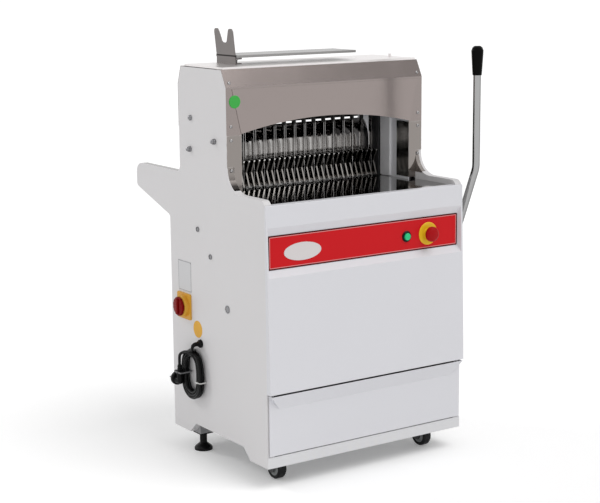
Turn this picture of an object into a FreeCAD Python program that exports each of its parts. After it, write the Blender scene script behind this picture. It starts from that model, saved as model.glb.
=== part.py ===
import FreeCAD, Part
import math
import os

os.makedirs("parts", exist_ok=True)

# Floor-standing bread slicer: a hand lever pushes the loaf through two blade frames that are
# driven in opposite strokes by a crankshaft, belt and motor inside the cabinet.
# Millimetres. +X is right and +Y is rear for somebody facing the front, the floor is at zero.

Vector = FreeCAD.Vector

# overall body
half_width = 310
body_front = -236
body_rear = 236
skirt_bottom = 57
cutout_top = 86
cutout_half = 122
cutout_slope = 31
table_top = 723
shelf_top = table_top + 14
shelf_corner = 18
arch_radius = 62.5
tower_front = -65
tower_rear = 177.5
tower_top = table_top + 322
tower_shoulder = tower_top - 44
rear_shoulder = tower_top - 46.5
top_front = tower_front + 22.5
top_rear = tower_rear - 16.2
arm_top = table_top + 43
arm_end = 420.5
arm_low = table_top - 20.4
arm_root = table_top - 81
arm_corner = 27
arm_toe = 12
arm_fillet = 18

# sheet and gaps
panel_sheet = 2
flange_width = 20
web_drop = 8
cover_sheet = 2
hood_sheet = 1.5
face_sheet = 1.2
inner_sheet = 3
fork_sheet = 2
running_gap = 0.4
side_gap = 1.5
lay_gap = 0.5

# base frame
tube_width = 40
tube_height = 30
tube_wall = 2
rail_bottom = cutout_top + panel_sheet
rail_top = rail_bottom + tube_height
rail_reach = body_rear - 11
rail_lip = 14
caster_line = body_front + 72
foot_line = body_rear - 84
foot_span = half_width - tube_width
leg_bottom = 50
foot_radius = 25
foot_neck = 10
foot_insert = 3
foot_plug = 12
wheel_radius = 30
wheel_width = 25
hub_proud = 2.5
caster_span = half_width - 73
axle_radius = 4
fork_gap = 3.5
fork_plate = 3

# cheeks that carry the mechanism
cheek_inset = 42
cheek_inner = half_width - cheek_inset
cheek_front = body_front + 36
cheek_rear = tower_rear - 5.5
cheek_top = tower_shoulder - 6
cheek_tower_front = tower_front + 3
ledge_width = 12

# working table, blade frames and blades
crank_height = 400
table_sheet = 2
table_front = body_front + 8
front_frame_line = 65
frame_spacing = 16
rear_frame_line = front_frame_line + frame_spacing
frame_side = 12
slot_start = front_frame_line - 9
slot_end = rear_frame_line + 9
infeed_gap = 4
infeed_lip = arm_end - 15
guide_gap = 0.3
frame_reach = cheek_inner - guide_gap
frame_low = crank_height + 80
frame_high = tower_shoulder + 14
frame_bar = 25
blade_pitch = 16
blade_thick = 0.8
blade_depth = 12
blade_clear = 3
blade_count = 2 * int((frame_reach - frame_side - blade_clear) / blade_pitch + 0.5)
slot_width = 4

# hood
seam_height = table_top + 157
arch_bottom = seam_height + 4
arch_top = arch_bottom + 30
arch_half = cheek_inner - 4
post_inner = cheek_inner - hood_sheet
post_low = table_top + 6
lining_rear = tower_front + 54
guide_front = front_frame_line - 49
guide_rear = front_frame_line - 8
guide_thick = 6
face_half = half_width - 17
face_drop = 5
front_flange = 22
rear_flange = 18
rear_hood_low = tower_top - 158

# drawer
drawer_bottom = cutout_top + 3
drawer_top = drawer_bottom + 158
drawer_face = body_front - 4
lip_start = drawer_top - 38
lip_face = drawer_face - 15
lip_half = half_width - 4
lip_inset = 30
drawer_sheet = 1.5
tray_half = cheek_inner - 12
tray_bottom = rail_top + 6
tray_top = drawer_top - 14
tray_rear = body_rear - 36
wing_sheet = 1.6
runner_drop = 18

# crank drive
crank_throw = 13
eccentric_radius = 24
eccentric_thick = 10
shaft_radius = 10
bush_radius = shaft_radius + 5
yoke_gap = 1.2
yoke_wall = 12
yoke_side_gap = 1.5
neck_half = 20
beam_front = front_frame_line - 45
beam_rear = rear_frame_line + 27
beam_thick = 10
beam_half = 25
bearing_radius = 20
bearing_flange = 8
crank_pulley_pitch = 72
motor_pulley_pitch = 24
belt_thick = 8
belt_width = 12
belt_side_gap = 0.6
pulley_width = 18
pulley_line = -49
shaft_end = 4
deck_sheet = 4
deck_top = tray_top + 21
motor_x = -120
motor_radius = 48
motor_height = deck_top + motor_radius + 8
motor_rear = pulley_line - 27
motor_front = motor_rear - 134
motor_shaft = 8

# feed lever and pusher
lever_pivot_y = -90
lever_pivot_height = motor_height + motor_radius + 22
lever_lean = 14
pin_drop = 32.5
lever_arm = (table_top - pin_drop - lever_pivot_height) / math.cos(math.radians(lever_lean))
lever_plane = half_width + 35
lever_front = body_front - 17
lever_bend = table_top + 45
bend_radius = 60
grip_low = lever_bend + 244
grip_high = grip_low + 76
lever_end = grip_high - 12
tube_radius = 10
grip_radius = 16
hub_radius = 18
hub_half = 12
arm_line = cheek_inner + 16
arm_thick = 5
arm_tip_radius = 11
pin_radius = 6
pin_gap = 0.8
rod_span = cheek_inner + 12
rod_height = table_top + 22
rod_radius = 7
rod_front = slot_end + 2
rod_rear = arm_end - 28.5
rod_rest = 13
rod_tab = 6
crossbar_side = 22
block_half = 8
block_rise = 15
block_front = slot_end + 11
block_rear = block_front + 40
head_half = 22
bar_deep = 22
bar_inner = rod_span - 6
bar_outer = rod_span + 2
pusher_line = block_front
comb_sheet = 4
plate_sheet = 2
finger_width = 4
finger_low = table_top + 5
finger_top = finger_low + 69
plate_margin = 4

# front cover and controls
cover_bottom = drawer_top + 4
cover_top = table_top + 2
cover_face_low = body_front - 17
cover_face_high = body_front - 4
recess_high = cover_top - 55
recess_low = recess_high - 125
recess_half = half_width - 5
recess_relief = 8
strip_low = recess_low + 17
strip_high = recess_high - 20
strip_half = recess_half - 5
strip_gap = 1
recess_floor = body_front + 4
strip_thick = 0.8
start_x = 129
start_height = strip_low + 41
stop_x = 200
stop_height = strip_low + 42
barrel_radius = 11
barrel_hole = barrel_radius + 0.2
barrel_length = 22
ring_radius = 15
ring_thick = 4
contact_half = 15
contact_start = 16
contact_end = 46
contact_rise = 20
switch_depth = 14
button_radius = 9.4
button_stem = 12
bezel_radius = 14.5
stop_radius = 20
stop_stem = 8
stop_stem_depth = 11
collar_radius = 30

# isolator, gland and cord on the left side
isolator_y = 166
isolator_height = 405
isolator_half = 35
isolator_body = isolator_half - 10
isolator_plate_thick = 4
isolator_boss = 29.5
boss_depth = 12
knob_reach = 28
knob_stem = 7
knob_radius = 22
knob_disc = 7
knob_half = 6
knob_rise = 19
gland_y = 85
gland_height = 316
gland_radius = 11
gland_thread = gland_radius - 4
cord_radius = 4
lead_out = 19
lead_drop = 16
coil_y = 110
coil_height = 230
coil_outer = 52
coil_inner = 27
coil_straight = 18
coil_corner = 6
coil_near = -half_width - 3
coil_far = coil_near - 20
tail_rise = coil_outer + coil_straight - cord_radius
plug_x = coil_far - 8.5
plug_y = coil_y + 27
plug_top = coil_height + 20
plug_collar = 10
plug_half = 8
plug_deep = 9
plug_round = 5
disc_x = coil_far - 4
disc_height = coil_height - 22
disc_radius = 19
disc_near = coil_y + coil_outer + 1
disc_thick = 12
pin_spacing = 9.5
plug_pin = 2.4
plug_pin_length = 18

# bag holder on the lid
lid_top = tower_top + 5
lid_half = half_width - 4
lid_rear = top_rear - 11.3
lid_corner = 4
peg_x = lid_half - 21
peg_y = 45
peg_radius = 4
peg_rise = 8
fork_x = 86 - lid_half
fork_near = 35
fork_far = 127
fork_foot = 26
fork_notch = 10
fork_mouth = 25
fork_tip = 9
fork_lean = 6
bag_tray_near = 25
bag_tray_far = 133
bag_tray_right = lid_half - 151
tray_level = lid_top + 22

# rear panel and its vents
rear_panel_gap = 2
rear_panel_top = table_top - 38
vent_rows = 7
vent_low = 150
vent_step = 16
vent_height = 6
vent_middle = 135
vent_half = 70

# the exported origin is the bottom centre of the overall box
datum_x = (lever_plane + grip_radius - half_width - knob_reach) / 2
datum_y = (arm_end + lever_front - grip_radius) / 2


def box(x0, x1, y0, y1, z0, z1):
    return Part.makeBox(x1 - x0, y1 - y0, z1 - z0, Vector(x0, y0, z0))


def rod(axis, first, second, radius, start, end):
    # a cylinder along one axis; first and second are the other two coordinates in order
    if axis == "x":
        return Part.makeCylinder(radius, end - start, Vector(start, first, second), Vector(1, 0, 0))
    if axis == "y":
        return Part.makeCylinder(radius, end - start, Vector(first, start, second), Vector(0, 1, 0))
    return Part.makeCylinder(radius, end - start, Vector(first, second, start), Vector(0, 0, 1))


def in_plane(axis, u, v, level):
    if axis == "x":
        return Vector(level, u, v)
    if axis == "y":
        return Vector(u, level, v)
    return Vector(u, v, level)


def rounded_loop(corners, axis, level):
    # corners are (u, v, radius); every corner with a radius becomes a tangent arc
    starts = []
    middles = []
    ends = []
    for index, (u, v, radius) in enumerate(corners):
        corner = Vector(u, v, 0)
        if radius == 0:
            starts.append(corner)
            middles.append(None)
            ends.append(corner)
            continue
        before = corners[index - 1]
        after = corners[(index + 1) % len(corners)]
        back = (Vector(before[0], before[1], 0) - corner).normalize()
        ahead = (Vector(after[0], after[1], 0) - corner).normalize()
        half = back.getAngle(ahead) / 2
        tangent = radius / math.tan(half)
        bisector = (back + ahead).normalize()
        starts.append(corner + back * tangent)
        middles.append(corner + bisector * (radius / math.sin(half) - radius))
        ends.append(corner + ahead * tangent)
    edges = []
    for index, middle in enumerate(middles):
        start = in_plane(axis, starts[index].x, starts[index].y, level)
        end = in_plane(axis, ends[index].x, ends[index].y, level)
        if middle is not None:
            through = in_plane(axis, middle.x, middle.y, level)
            edges.append(Part.Arc(start, through, end).toShape())
        upcoming = starts[(index + 1) % len(starts)]
        goal = in_plane(axis, upcoming.x, upcoming.y, level)
        if (goal - end).Length > 0.001:
            edges.append(Part.makeLine(end, goal))
    return Part.Wire(edges)


def inset_loop(corners, depth):
    # the same loop moved inwards by one sheet thickness
    area = 0
    for index, (u, v, radius) in enumerate(corners):
        area += corners[index - 1][0] * v - u * corners[index - 1][1]
    turn = math.copysign(1, area)
    moved = []
    for index, (u, v, radius) in enumerate(corners):
        before = corners[index - 1]
        after = corners[(index + 1) % len(corners)]
        arriving = Vector(u - before[0], v - before[1], 0).normalize()
        leaving = Vector(after[0] - u, after[1] - v, 0).normalize()
        first = Vector(-arriving.y, arriving.x, 0) * turn
        second = Vector(-leaving.y, leaving.x, 0) * turn
        shift = (first + second) * (depth / (1 + first.dot(second)))
        bend = (arriving.x * leaving.y - arriving.y * leaving.x) * turn
        if radius > 0:
            radius = radius + depth if bend < 0 else max(radius - depth, 0)
        moved.append((u + shift.x, v + shift.y, radius))
    return moved


def prism(axis, corners, start, end):
    face = Part.Face(rounded_loop(corners, axis, start))
    along = in_plane(axis, 0, 0, end - start)
    return face.extrude(along)


def sharp(*points):
    return [(u, v, 0) for u, v in points]


def turned(profile, base, axis):
    # revolve a closed (distance, radius) profile about an axis through base
    axis = Vector(axis).normalize()
    side = Vector(0, 0, 1).cross(axis)
    if side.Length < 0.1:
        side = Vector(1, 0, 0)
    side.normalize()
    points = [base + axis * along + side * radius for along, radius in profile]
    wire = Part.makePolygon(points + [points[0]])
    return Part.Face(wire).revolve(base, axis, 360)


def mirrored(shape):
    return shape.mirror(Vector(0, 0, 0), Vector(1, 0, 0))


def pair(shape):
    return Part.makeCompound([shape, mirrored(shape)])


def fused(shapes):
    first = shapes[0]
    return first.multiFuse(shapes[1:]).removeSplitter()


def smooth_route(points, radius):
    # straight runs joined by tangent arcs, swept by a round section
    edges = []
    cursor = points[0]
    for index in range(1, len(points) - 1):
        corner = points[index]
        back = points[index - 1] - corner
        ahead = points[index + 1] - corner
        shorter = min(back.Length, ahead.Length)
        back.normalize()
        ahead.normalize()
        half = back.getAngle(ahead) / 2
        bend = 0.45 * shorter * math.tan(half)
        print("bend radius", round(bend, 1), "for a round of radius", radius)
        start = corner + back * (0.45 * shorter)
        end = corner + ahead * (0.45 * shorter)
        middle = corner + (back + ahead).normalize() * (bend / math.sin(half) - bend)
        edges.append(Part.makeLine(cursor, start))
        edges.append(Part.Arc(start, middle, end).toShape())
        cursor = end
    edges.append(Part.makeLine(cursor, points[-1]))
    route = Part.Wire(edges)
    heading = points[1] - points[0]
    section = Part.Wire([Part.makeCircle(radius, points[0], heading)])
    return route.makePipeShell([section], True, False)


def export(name, shape):
    placed = shape.copy()
    placed.translate(Vector(-datum_x, -datum_y, 0))
    solids = placed.Solids
    print(name, len(solids), "solid", "valid" if placed.isValid() else "INVALID",
          round(placed.Volume / 1000, 1))
    placed.exportStep("parts/" + name + ".step")


# ---------------------------------------------------------------- side panels
tower_corners = sharp(
    (tower_front, shelf_top - shelf_corner),
    (tower_front, tower_shoulder),
    (top_front, tower_top),
    (top_rear, tower_top),
    (tower_rear, rear_shoulder),
    (tower_rear, shelf_top - shelf_corner),
)
tower_inside = inset_loop(tower_corners, hood_sheet)


def side_outline():
    shoulder = tower_inside[1]
    crown_front = tower_inside[2]
    crown_rear = tower_inside[3]
    rear_corner = tower_inside[4]
    return [
        (body_rear, skirt_bottom, 0),
        (cutout_half - 1 + cutout_slope, skirt_bottom, 0),
        (cutout_half - 1, cutout_top, 0),
        (-cutout_half, cutout_top, 0),
        (-cutout_half - cutout_slope, skirt_bottom, 0),
        (body_front, skirt_bottom, 0),
        (body_front, shelf_top, shelf_corner),
        (shoulder[0], shelf_top, arch_radius),
        (shoulder[0], shoulder[1], 0),
        (crown_front[0], crown_front[1], 0),
        (crown_rear[0], crown_rear[1], 0),
        (rear_corner[0], rear_corner[1], 0),
        (rear_corner[0], arm_top, arm_fillet),
        (arm_end, arm_top, arm_corner),
        (arm_end, arm_low, arm_toe),
        (body_rear, arm_root, arm_toe),
    ]


def side_panel():
    # pressed sheet with a return flange all round and a web that closes the shelf in front of
    # the tower, drawn for the left side
    outline = side_outline()
    inside = inset_loop(outline, panel_sheet)
    flange_edge = -half_width + flange_width
    body = prism("x", outline, -half_width, flange_edge)
    pocket = prism("x", inside, -half_width + panel_sheet, flange_edge + 1)
    relief = box(-half_width + panel_sheet, flange_edge, body_front - 1, body_front + panel_sheet + 1,
                 recess_low - recess_relief, recess_high + recess_relief)
    web = prism("x", outline, flange_edge - panel_sheet, flange_edge)
    web_place = box(flange_edge - panel_sheet, flange_edge, body_front, tower_front + hood_sheet,
                    table_top - web_drop, shelf_top + arch_radius)
    return fused([body.cut(pocket).cut(relief), web.common(web_place)])


def left_side_panel():
    panel = side_panel()
    outside = -half_width - 1
    inside = -half_width + panel_sheet + 1
    isolator_hole = rod("x", isolator_y, isolator_height, isolator_body, outside, inside)
    gland_hole = rod("x", gland_y, gland_height, gland_thread, outside, inside)
    return panel.cut(isolator_hole).cut(gland_hole)


def right_side_panel():
    hole = rod("x", lever_pivot_y, lever_pivot_height, bush_radius, half_width - 5, half_width + 1)
    return mirrored(side_panel()).cut(hole)


# ---------------------------------------------------------------- base frame
def square_tube(x0, x1, y0, y1, z0, z1, along):
    outer = box(x0, x1, y0, y1, z0, z1)
    wall = tube_wall
    trims = {"x": (-1, wall, wall), "y": (wall, -1, wall), "z": (wall, wall, -1)}[along]
    inner = box(x0 + trims[0], x1 - trims[0], y0 + trims[1], y1 - trims[1],
                z0 + trims[2], z1 - trims[2])
    return outer.cut(inner)


def base_frame():
    rail = square_tube(cheek_inner, half_width - panel_sheet, -rail_reach, rail_reach,
                       rail_bottom, rail_top, "y")
    half_tube = tube_width / 2
    front_cross = square_tube(-cheek_inner, cheek_inner, caster_line - half_tube,
                              caster_line + half_tube, rail_bottom, rail_top, "x")
    rear_cross = square_tube(-cheek_inner, cheek_inner, foot_line - half_tube,
                             foot_line + half_tube, rail_bottom, rail_top, "x")
    leg = square_tube(foot_span - half_tube, foot_span + half_tube, foot_line - half_tube,
                      foot_line + half_tube, leg_bottom, rail_bottom, "z")
    return fused([rail, mirrored(rail), front_cross, rear_cross, leg, mirrored(leg)])


def base_rail():
    face = cover_sheet
    back = body_front + rail_lip
    corners = sharp((body_front, skirt_bottom), (body_front - face, skirt_bottom),
                    (body_front - face, cutout_top), (body_front, cutout_top))
    front = prism("x", corners, -half_width, half_width)
    inner_half = half_width - flange_width
    shelf = box(-inner_half, inner_half, body_front, back, skirt_bottom, skirt_bottom + face)
    ledge = box(-inner_half, inner_half, body_front, back, cutout_top - face, cutout_top)
    return fused([front, shelf, ledge])


# ---------------------------------------------------------------- cheeks and table
def left_cheek():
    inner = -cheek_inner
    outer = inner - inner_sheet
    corners = sharp((cheek_front, rail_top), (cheek_rear, rail_top), (cheek_rear, cheek_top),
                    (cheek_tower_front, cheek_top), (cheek_tower_front, table_top - table_sheet),
                    (cheek_front, table_top - table_sheet))
    sheet = prism("x", corners, outer, inner)
    slot = box(outer - 1, inner + 1, block_front - 3, cheek_rear + 1, finger_low - 2,
               finger_low + frame_bar + 4)
    shaft_hole = rod("x", lever_pivot_y, lever_pivot_height, bush_radius, outer - 1, inner + 1)
    ledge_top = table_top - table_sheet
    ledges = [
        box(inner, inner + ledge_width, cheek_front, slot_start - 18, ledge_top - table_sheet,
            ledge_top),
        box(inner, inner + ledge_width, slot_end + infeed_gap, cheek_rear, ledge_top - table_sheet,
            ledge_top),
    ]
    tab = box(-rod_span - block_half, outer, rod_front, rod_front + rod_tab, rod_height - rod_rest,
              rod_height + rod_rest)
    rod_hole = rod("y", -rod_span, rod_height, rod_radius, rod_front - 1, rod_front + rod_tab + 1)
    return fused([sheet.cut(slot).cut(shaft_hole)] + ledges + [tab.cut(rod_hole)])


def right_cheek():
    return mirrored(left_cheek())


def blade_places():
    first = -(blade_count - 1) * blade_pitch / 2
    return [first + index * blade_pitch for index in range(blade_count)]


def front_table():
    bottom = table_top - table_sheet
    wide = half_width - flange_width - lay_gap
    narrow = cheek_inner - 2
    comb_edge = blade_places()[-1] + slot_width / 2
    corners = sharp((-wide, table_front), (wide, table_front), (wide, tower_front - 1),
                    (narrow, tower_front - 1), (narrow, slot_start), (comb_edge, slot_start),
                    (comb_edge, slot_end), (-comb_edge, slot_end), (-comb_edge, slot_start),
                    (-narrow, slot_start), (-narrow, tower_front - 1), (-wide, tower_front - 1))
    plate = prism("z", corners, bottom, table_top)
    slots = []
    for place in blade_places():
        slots.append(box(place - slot_width / 2, place + slot_width / 2, slot_start + 1,
                         slot_end + 1, bottom - 1, table_top + 1))
    return plate.cut(Part.makeCompound(slots))


def infeed_table():
    bottom = table_top - table_sheet
    half = cheek_inner - lay_gap
    plate = box(-half, half, slot_end + infeed_gap, infeed_lip, bottom, table_top)
    lip = box(-half, half, infeed_lip - table_sheet, infeed_lip, bottom - frame_bar, bottom)
    return fused([plate, lip])


def infeed_crossbar():
    half = half_width - panel_sheet
    top = table_top - table_sheet
    near = rod_rear - crossbar_side
    bar = square_tube(-half, half, near, rod_rear, top - crossbar_side, top, "x")
    end = box(rod_span - block_half, rod_span + block_half, near, rod_rear, top, rod_height + rod_rest - 1)
    hole = rod("y", rod_span, rod_height, rod_radius, near - 1, rod_rear + 1)
    end = end.cut(hole)
    return fused([bar, end, mirrored(end)])


def guide_rods():
    return pair(rod("y", rod_span, rod_height, rod_radius, rod_front, rod_rear))


def guide_strips():
    strip = box(cheek_inner - guide_thick, cheek_inner, guide_front, guide_rear, table_top + 2,
                cheek_top - 5)
    return pair(strip)


# ---------------------------------------------------------------- hood, lid and rear covers
def arch_tool(half):
    rise = arch_top - arch_bottom
    radius = (arch_half ** 2 + rise ** 2) / (2 * rise)
    disc = rod("y", 0, arch_top - radius, radius, tower_front - 10, tower_front + 10)
    limit = box(-half, half, tower_front - 10, tower_front + 10, 0, arch_top + 1)
    return disc.common(limit)


def hood_front():
    # face, sloping brow and top flange folded from one sheet
    top_flange = top_front + front_flange
    corners = sharp(
        (tower_front, seam_height), (tower_front, tower_shoulder), (top_front, tower_top),
        (top_flange, tower_top), (top_flange, tower_inside[2][1]),
        (tower_inside[2][0], tower_inside[2][1]), (tower_inside[1][0], tower_inside[1][1]),
        (tower_inside[1][0], seam_height),
    )
    sheet = prism("x", corners, -half_width, half_width)
    return sheet.cut(arch_tool(post_inner))


def hood_face():
    high = tower_shoulder - face_drop
    low = seam_height + 2
    corners = sharp((-face_half, high), (face_half, high), (arch_half + 3, low), (-arch_half - 3, low))
    plate = prism("y", corners, tower_front - face_sheet, tower_front)
    return plate.cut(arch_tool(arch_half + 10))


def hood_posts():
    back = tower_front + hood_sheet
    flange_clear = shelf_top + arch_radius + side_gap
    narrow = half_width - flange_width - lay_gap
    corners = sharp((post_inner, post_low), (narrow, post_low), (narrow, flange_clear),
                    (half_width, flange_clear), (half_width, seam_height), (post_inner, seam_height))
    face = prism("y", corners, tower_front, back)
    lining = box(post_inner, cheek_inner, back, lining_rear, post_low, seam_height)
    return pair(fused([face, lining]))


def rear_hood():
    low = rear_hood_low
    top_flange = top_rear - rear_flange
    corners = sharp(
        (top_flange, tower_top), (top_rear, tower_top), (tower_rear, rear_shoulder),
        (tower_rear, low), (tower_inside[4][0], low), (tower_inside[4][0], tower_inside[4][1]),
        (tower_inside[3][0], tower_inside[3][1]), (top_flange, tower_inside[3][1]),
    )
    return prism("x", corners, -half_width, half_width)


def top_lid():
    outer = prism("z", [(-lid_half, top_front, lid_corner), (lid_half, top_front, lid_corner),
                        (lid_half, lid_rear, lid_corner), (-lid_half, lid_rear, lid_corner)],
                  tower_top, lid_top)
    sheet = hood_sheet
    inner = box(-lid_half + sheet, lid_half - sheet, top_front + sheet, lid_rear - sheet,
                tower_top - 1, lid_top - sheet)
    peg = rod("z", peg_x, peg_y, peg_radius, lid_top - sheet, lid_top + peg_rise)
    return fused([outer.cut(inner), peg])


def rear_panel():
    back = body_rear - panel_sheet
    half = half_width - panel_sheet - rear_panel_gap
    plate = box(-half, half, back - hood_sheet, back, skirt_bottom + 3, rear_panel_top)
    vents = []
    for row in range(vent_rows):
        height = vent_low + vent_step * row
        for middle in (-vent_middle, vent_middle):
            vents.append(box(middle - vent_half, middle + vent_half, back - 3, back + 1, height,
                             height + vent_height))
    return plate.cut(Part.makeCompound(vents))


# ---------------------------------------------------------------- front cover and controls
def face_line(height):
    share = (height - cover_bottom) / (cover_top - cover_bottom)
    return cover_face_low + (cover_face_high - cover_face_low) * share


def recess_solid(grow):
    # tapered pocket from the leaning face to the flat strip floor
    floor_y = recess_floor + grow
    floor = [
        Vector(-strip_half - grow, floor_y, strip_low - grow),
        Vector(strip_half + grow, floor_y, strip_low - grow),
        Vector(strip_half + grow, floor_y, strip_high + grow),
        Vector(-strip_half - grow, floor_y, strip_high + grow),
    ]
    low_y = face_line(recess_low)
    high_y = face_line(recess_high)
    mouth = [
        Vector(-recess_half - grow, low_y, recess_low - grow),
        Vector(recess_half + grow, low_y, recess_low - grow),
        Vector(recess_half + grow, high_y, recess_high + grow),
        Vector(-recess_half - grow, high_y, recess_high + grow),
    ]
    wider = [outer + (outer - inner) * 0.15 for outer, inner in zip(mouth, floor)]
    loops = [Part.makePolygon(loop + [loop[0]]) for loop in (floor, wider)]
    return Part.makeLoft(loops, True, True)


def barrel_holes():
    ends = (recess_floor - 2, recess_floor + 5)
    return Part.makeCompound([rod("y", start_x, start_height, barrel_hole, *ends),
                              rod("y", stop_x, stop_height, barrel_hole, *ends)])


def front_cover():
    corners = [(body_front, cover_bottom, 0), (cover_face_low, cover_bottom, 0),
               (cover_face_high, cover_top, 3), (body_front, cover_top, 0)]
    outer = prism("x", corners, -half_width, half_width)
    inside = inset_loop(corners, cover_sheet)
    inside[0] = (body_front + 1, inside[0][1], 0)
    inside[3] = (body_front + 1, inside[3][1], 0)
    inner = prism("x", inside, -half_width + cover_sheet, half_width - cover_sheet)
    shell = outer.cut(inner)
    top_half = half_width - flange_width - lay_gap
    top_flange = box(-top_half, top_half, body_front - 3, table_front + 8, cover_top - cover_sheet,
                     cover_top)
    grown = recess_solid(cover_sheet)
    limit = prism("x", [(recess_floor + 5, cover_bottom, 0), (cover_face_low, cover_bottom, 0),
                        (cover_face_high, cover_top, 0), (recess_floor + 5, cover_top, 0)],
                  -half_width, half_width)
    body = fused([shell, top_flange, grown.common(limit)]).cut(recess_solid(0))
    return body.cut(barrel_holes())


def control_strip():
    front = recess_floor - strip_thick
    half = strip_half - strip_gap
    low = strip_low + strip_gap
    high = strip_high - strip_gap
    plate = prism("y", [(-half, low, 3), (half, low, 3), (half, high, 3), (-half, high, 3)], front,
                  recess_floor)
    return plate.cut(barrel_holes())


def switch_body(x, height, bore):
    # threaded barrel, lock ring and contact block behind the cover
    floor_back = recess_floor + cover_sheet
    barrel = rod("y", x, height, barrel_radius, recess_floor - strip_thick, floor_back + barrel_length)
    ring = rod("y", x, height, ring_radius, floor_back, floor_back + ring_thick)
    block = box(x - contact_half, x + contact_half, floor_back + contact_start,
                floor_back + contact_end, height - contact_rise, height + contact_rise)
    hollow = rod("y", x, height, bore, recess_floor - 10, floor_back + switch_depth)
    return fused([barrel, ring, block]).cut(hollow)


def start_bezel():
    front = recess_floor - strip_thick
    bore = button_radius + running_gap
    bezel = turned([(0, bore), (0, bezel_radius), (-1.6, bezel_radius), (-3.4, bezel_radius - 2.1),
                    (-3.4, bore)],
                   Vector(start_x, front, start_height), (0, 1, 0))
    return fused([bezel, switch_body(start_x, start_height, bore)])


def start_button():
    front = recess_floor - strip_thick
    return turned([(button_stem, 0), (button_stem, button_radius), (-6.2, button_radius),
                   (-7.4, button_radius - 1.4), (-7.4, 0)],
                  Vector(start_x, front, start_height), (0, 1, 0))


def estop_collar():
    front = recess_floor - strip_thick
    stem_bore = stop_stem + running_gap
    collar = turned([(0, stem_bore), (0, collar_radius), (-1.4, collar_radius),
                     (-2.4, collar_radius - 1.2), (-2.4, 15), (-7, 14), (-7, stem_bore)],
                    Vector(stop_x, front, stop_height), (0, 1, 0))
    return fused([collar, switch_body(stop_x, stop_height, stem_bore)])


def estop_head():
    front = recess_floor - strip_thick
    profile = [(stop_stem_depth, 0), (stop_stem_depth, stop_stem), (-13, stop_stem),
               (-13, stop_radius - 3), (-15, stop_radius), (-21, stop_radius), (-25, stop_radius - 2.5),
               (-27.5, stop_radius - 7), (-28.6, stop_radius - 14), (-29, 0)]
    return turned(profile, Vector(stop_x, front, stop_height), (0, 1, 0))


# ---------------------------------------------------------------- crumb drawer
def drawer_front():
    back = drawer_face + drawer_sheet
    face = box(-lip_half, lip_half, drawer_face, back, drawer_bottom, drawer_top)
    bottom_fold = box(-lip_half, lip_half, back, back + drawer_sheet, drawer_bottom,
                      drawer_bottom + drawer_sheet)

    def flare(inset):
        low = lip_half - lip_inset - inset
        high = lip_half - inset
        loops = []
        for half, front, height in ((low, drawer_face + inset, lip_start),
                                    (high, lip_face + inset, drawer_top)):
            rear = back + (1 if inset else 0)
            corners = [Vector(-half, front, height), Vector(half, front, height),
                       Vector(half, rear, height), Vector(-half, rear, height)]
            loops.append(Part.makePolygon(corners + [corners[0]]))
        return Part.makeLoft(loops, True, True)

    return fused([face, bottom_fold, flare(0)]).cut(flare(drawer_sheet * 0.95))


def drawer_tray():
    front = drawer_face + drawer_sheet
    sheet = drawer_sheet
    outer = box(-tray_half, tray_half, front, tray_rear, tray_bottom, tray_top)
    inner = box(-tray_half + sheet, tray_half - sheet, front + sheet, tray_rear - sheet,
                tray_bottom + sheet, tray_top + 1)
    wing = box(tray_half, cheek_inner - 3, front, tray_rear, tray_top - wing_sheet, tray_top)
    lip_gap = box(-tray_half - 20, tray_half + 20, front - 1, front + 2, lip_start, tray_top + 1)
    return fused([outer.cut(inner), wing, mirrored(wing)]).cut(lip_gap)


def drawer_runners():
    top = tray_top - wing_sheet - running_gap
    inner = tray_half + side_gap
    under = top - drawer_sheet
    web = cheek_inner - drawer_sheet
    corners = sharp((inner, top), (inner, under), (web, under), (web, top - runner_drop),
                    (cheek_inner, top - runner_drop), (cheek_inner, top))
    return pair(prism("y", corners, cheek_front, cheek_rear - 2))


# ---------------------------------------------------------------- blade frames
def blade_frame(line):
    # rectangular frame with a yoke below that embraces one eccentric of the crankshaft
    near = line - frame_side / 2
    far = line + frame_side / 2
    outer = box(-frame_reach, frame_reach, near, far, frame_low, frame_high)
    window = box(-frame_reach + frame_side, frame_reach - frame_side, near - 1, far + 1,
                 frame_low + frame_bar, frame_high - frame_bar)
    open_half = eccentric_radius + crank_throw + yoke_side_gap
    open_rise = eccentric_radius + yoke_gap
    side = open_half + yoke_wall
    rise = open_rise + yoke_wall
    yoke_near = line - eccentric_thick / 2 + 0.5
    yoke_far = line + eccentric_thick / 2 - 0.5
    yoke_corners = [(-side, crank_height - rise, 10), (side, crank_height - rise, 10),
                    (side, crank_height + rise, 10), (neck_half, crank_height + rise, 4),
                    (neck_half, frame_low + 2, 0), (-neck_half, frame_low + 2, 0),
                    (-neck_half, crank_height + rise, 4), (-side, crank_height + rise, 10)]
    yoke = prism("y", yoke_corners, yoke_near, yoke_far)
    opening = box(-open_half, open_half, yoke_near - 1, yoke_far + 1,
                  crank_height - open_rise, crank_height + open_rise)
    return fused([outer.cut(window), yoke.cut(opening)])


def blades(line, first):
    strips = []
    for place in blade_places()[first::2]:
        strips.append(box(place - blade_thick / 2, place + blade_thick / 2, line - blade_depth / 2,
                          line + blade_depth / 2, frame_low + frame_bar, frame_high - frame_bar))
    return Part.makeCompound(strips)


# ---------------------------------------------------------------- crank drive
def crank_beams():
    beams = []
    for near in (beam_front, beam_rear):
        beam = box(-cheek_inner, cheek_inner, near, near + beam_thick, crank_height - beam_half,
                   crank_height + beam_half)
        hole = rod("y", 0, crank_height, bearing_radius, near - 1, near + beam_thick + 1)
        beams.append(beam.cut(hole))
    return Part.makeCompound(beams)


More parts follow.
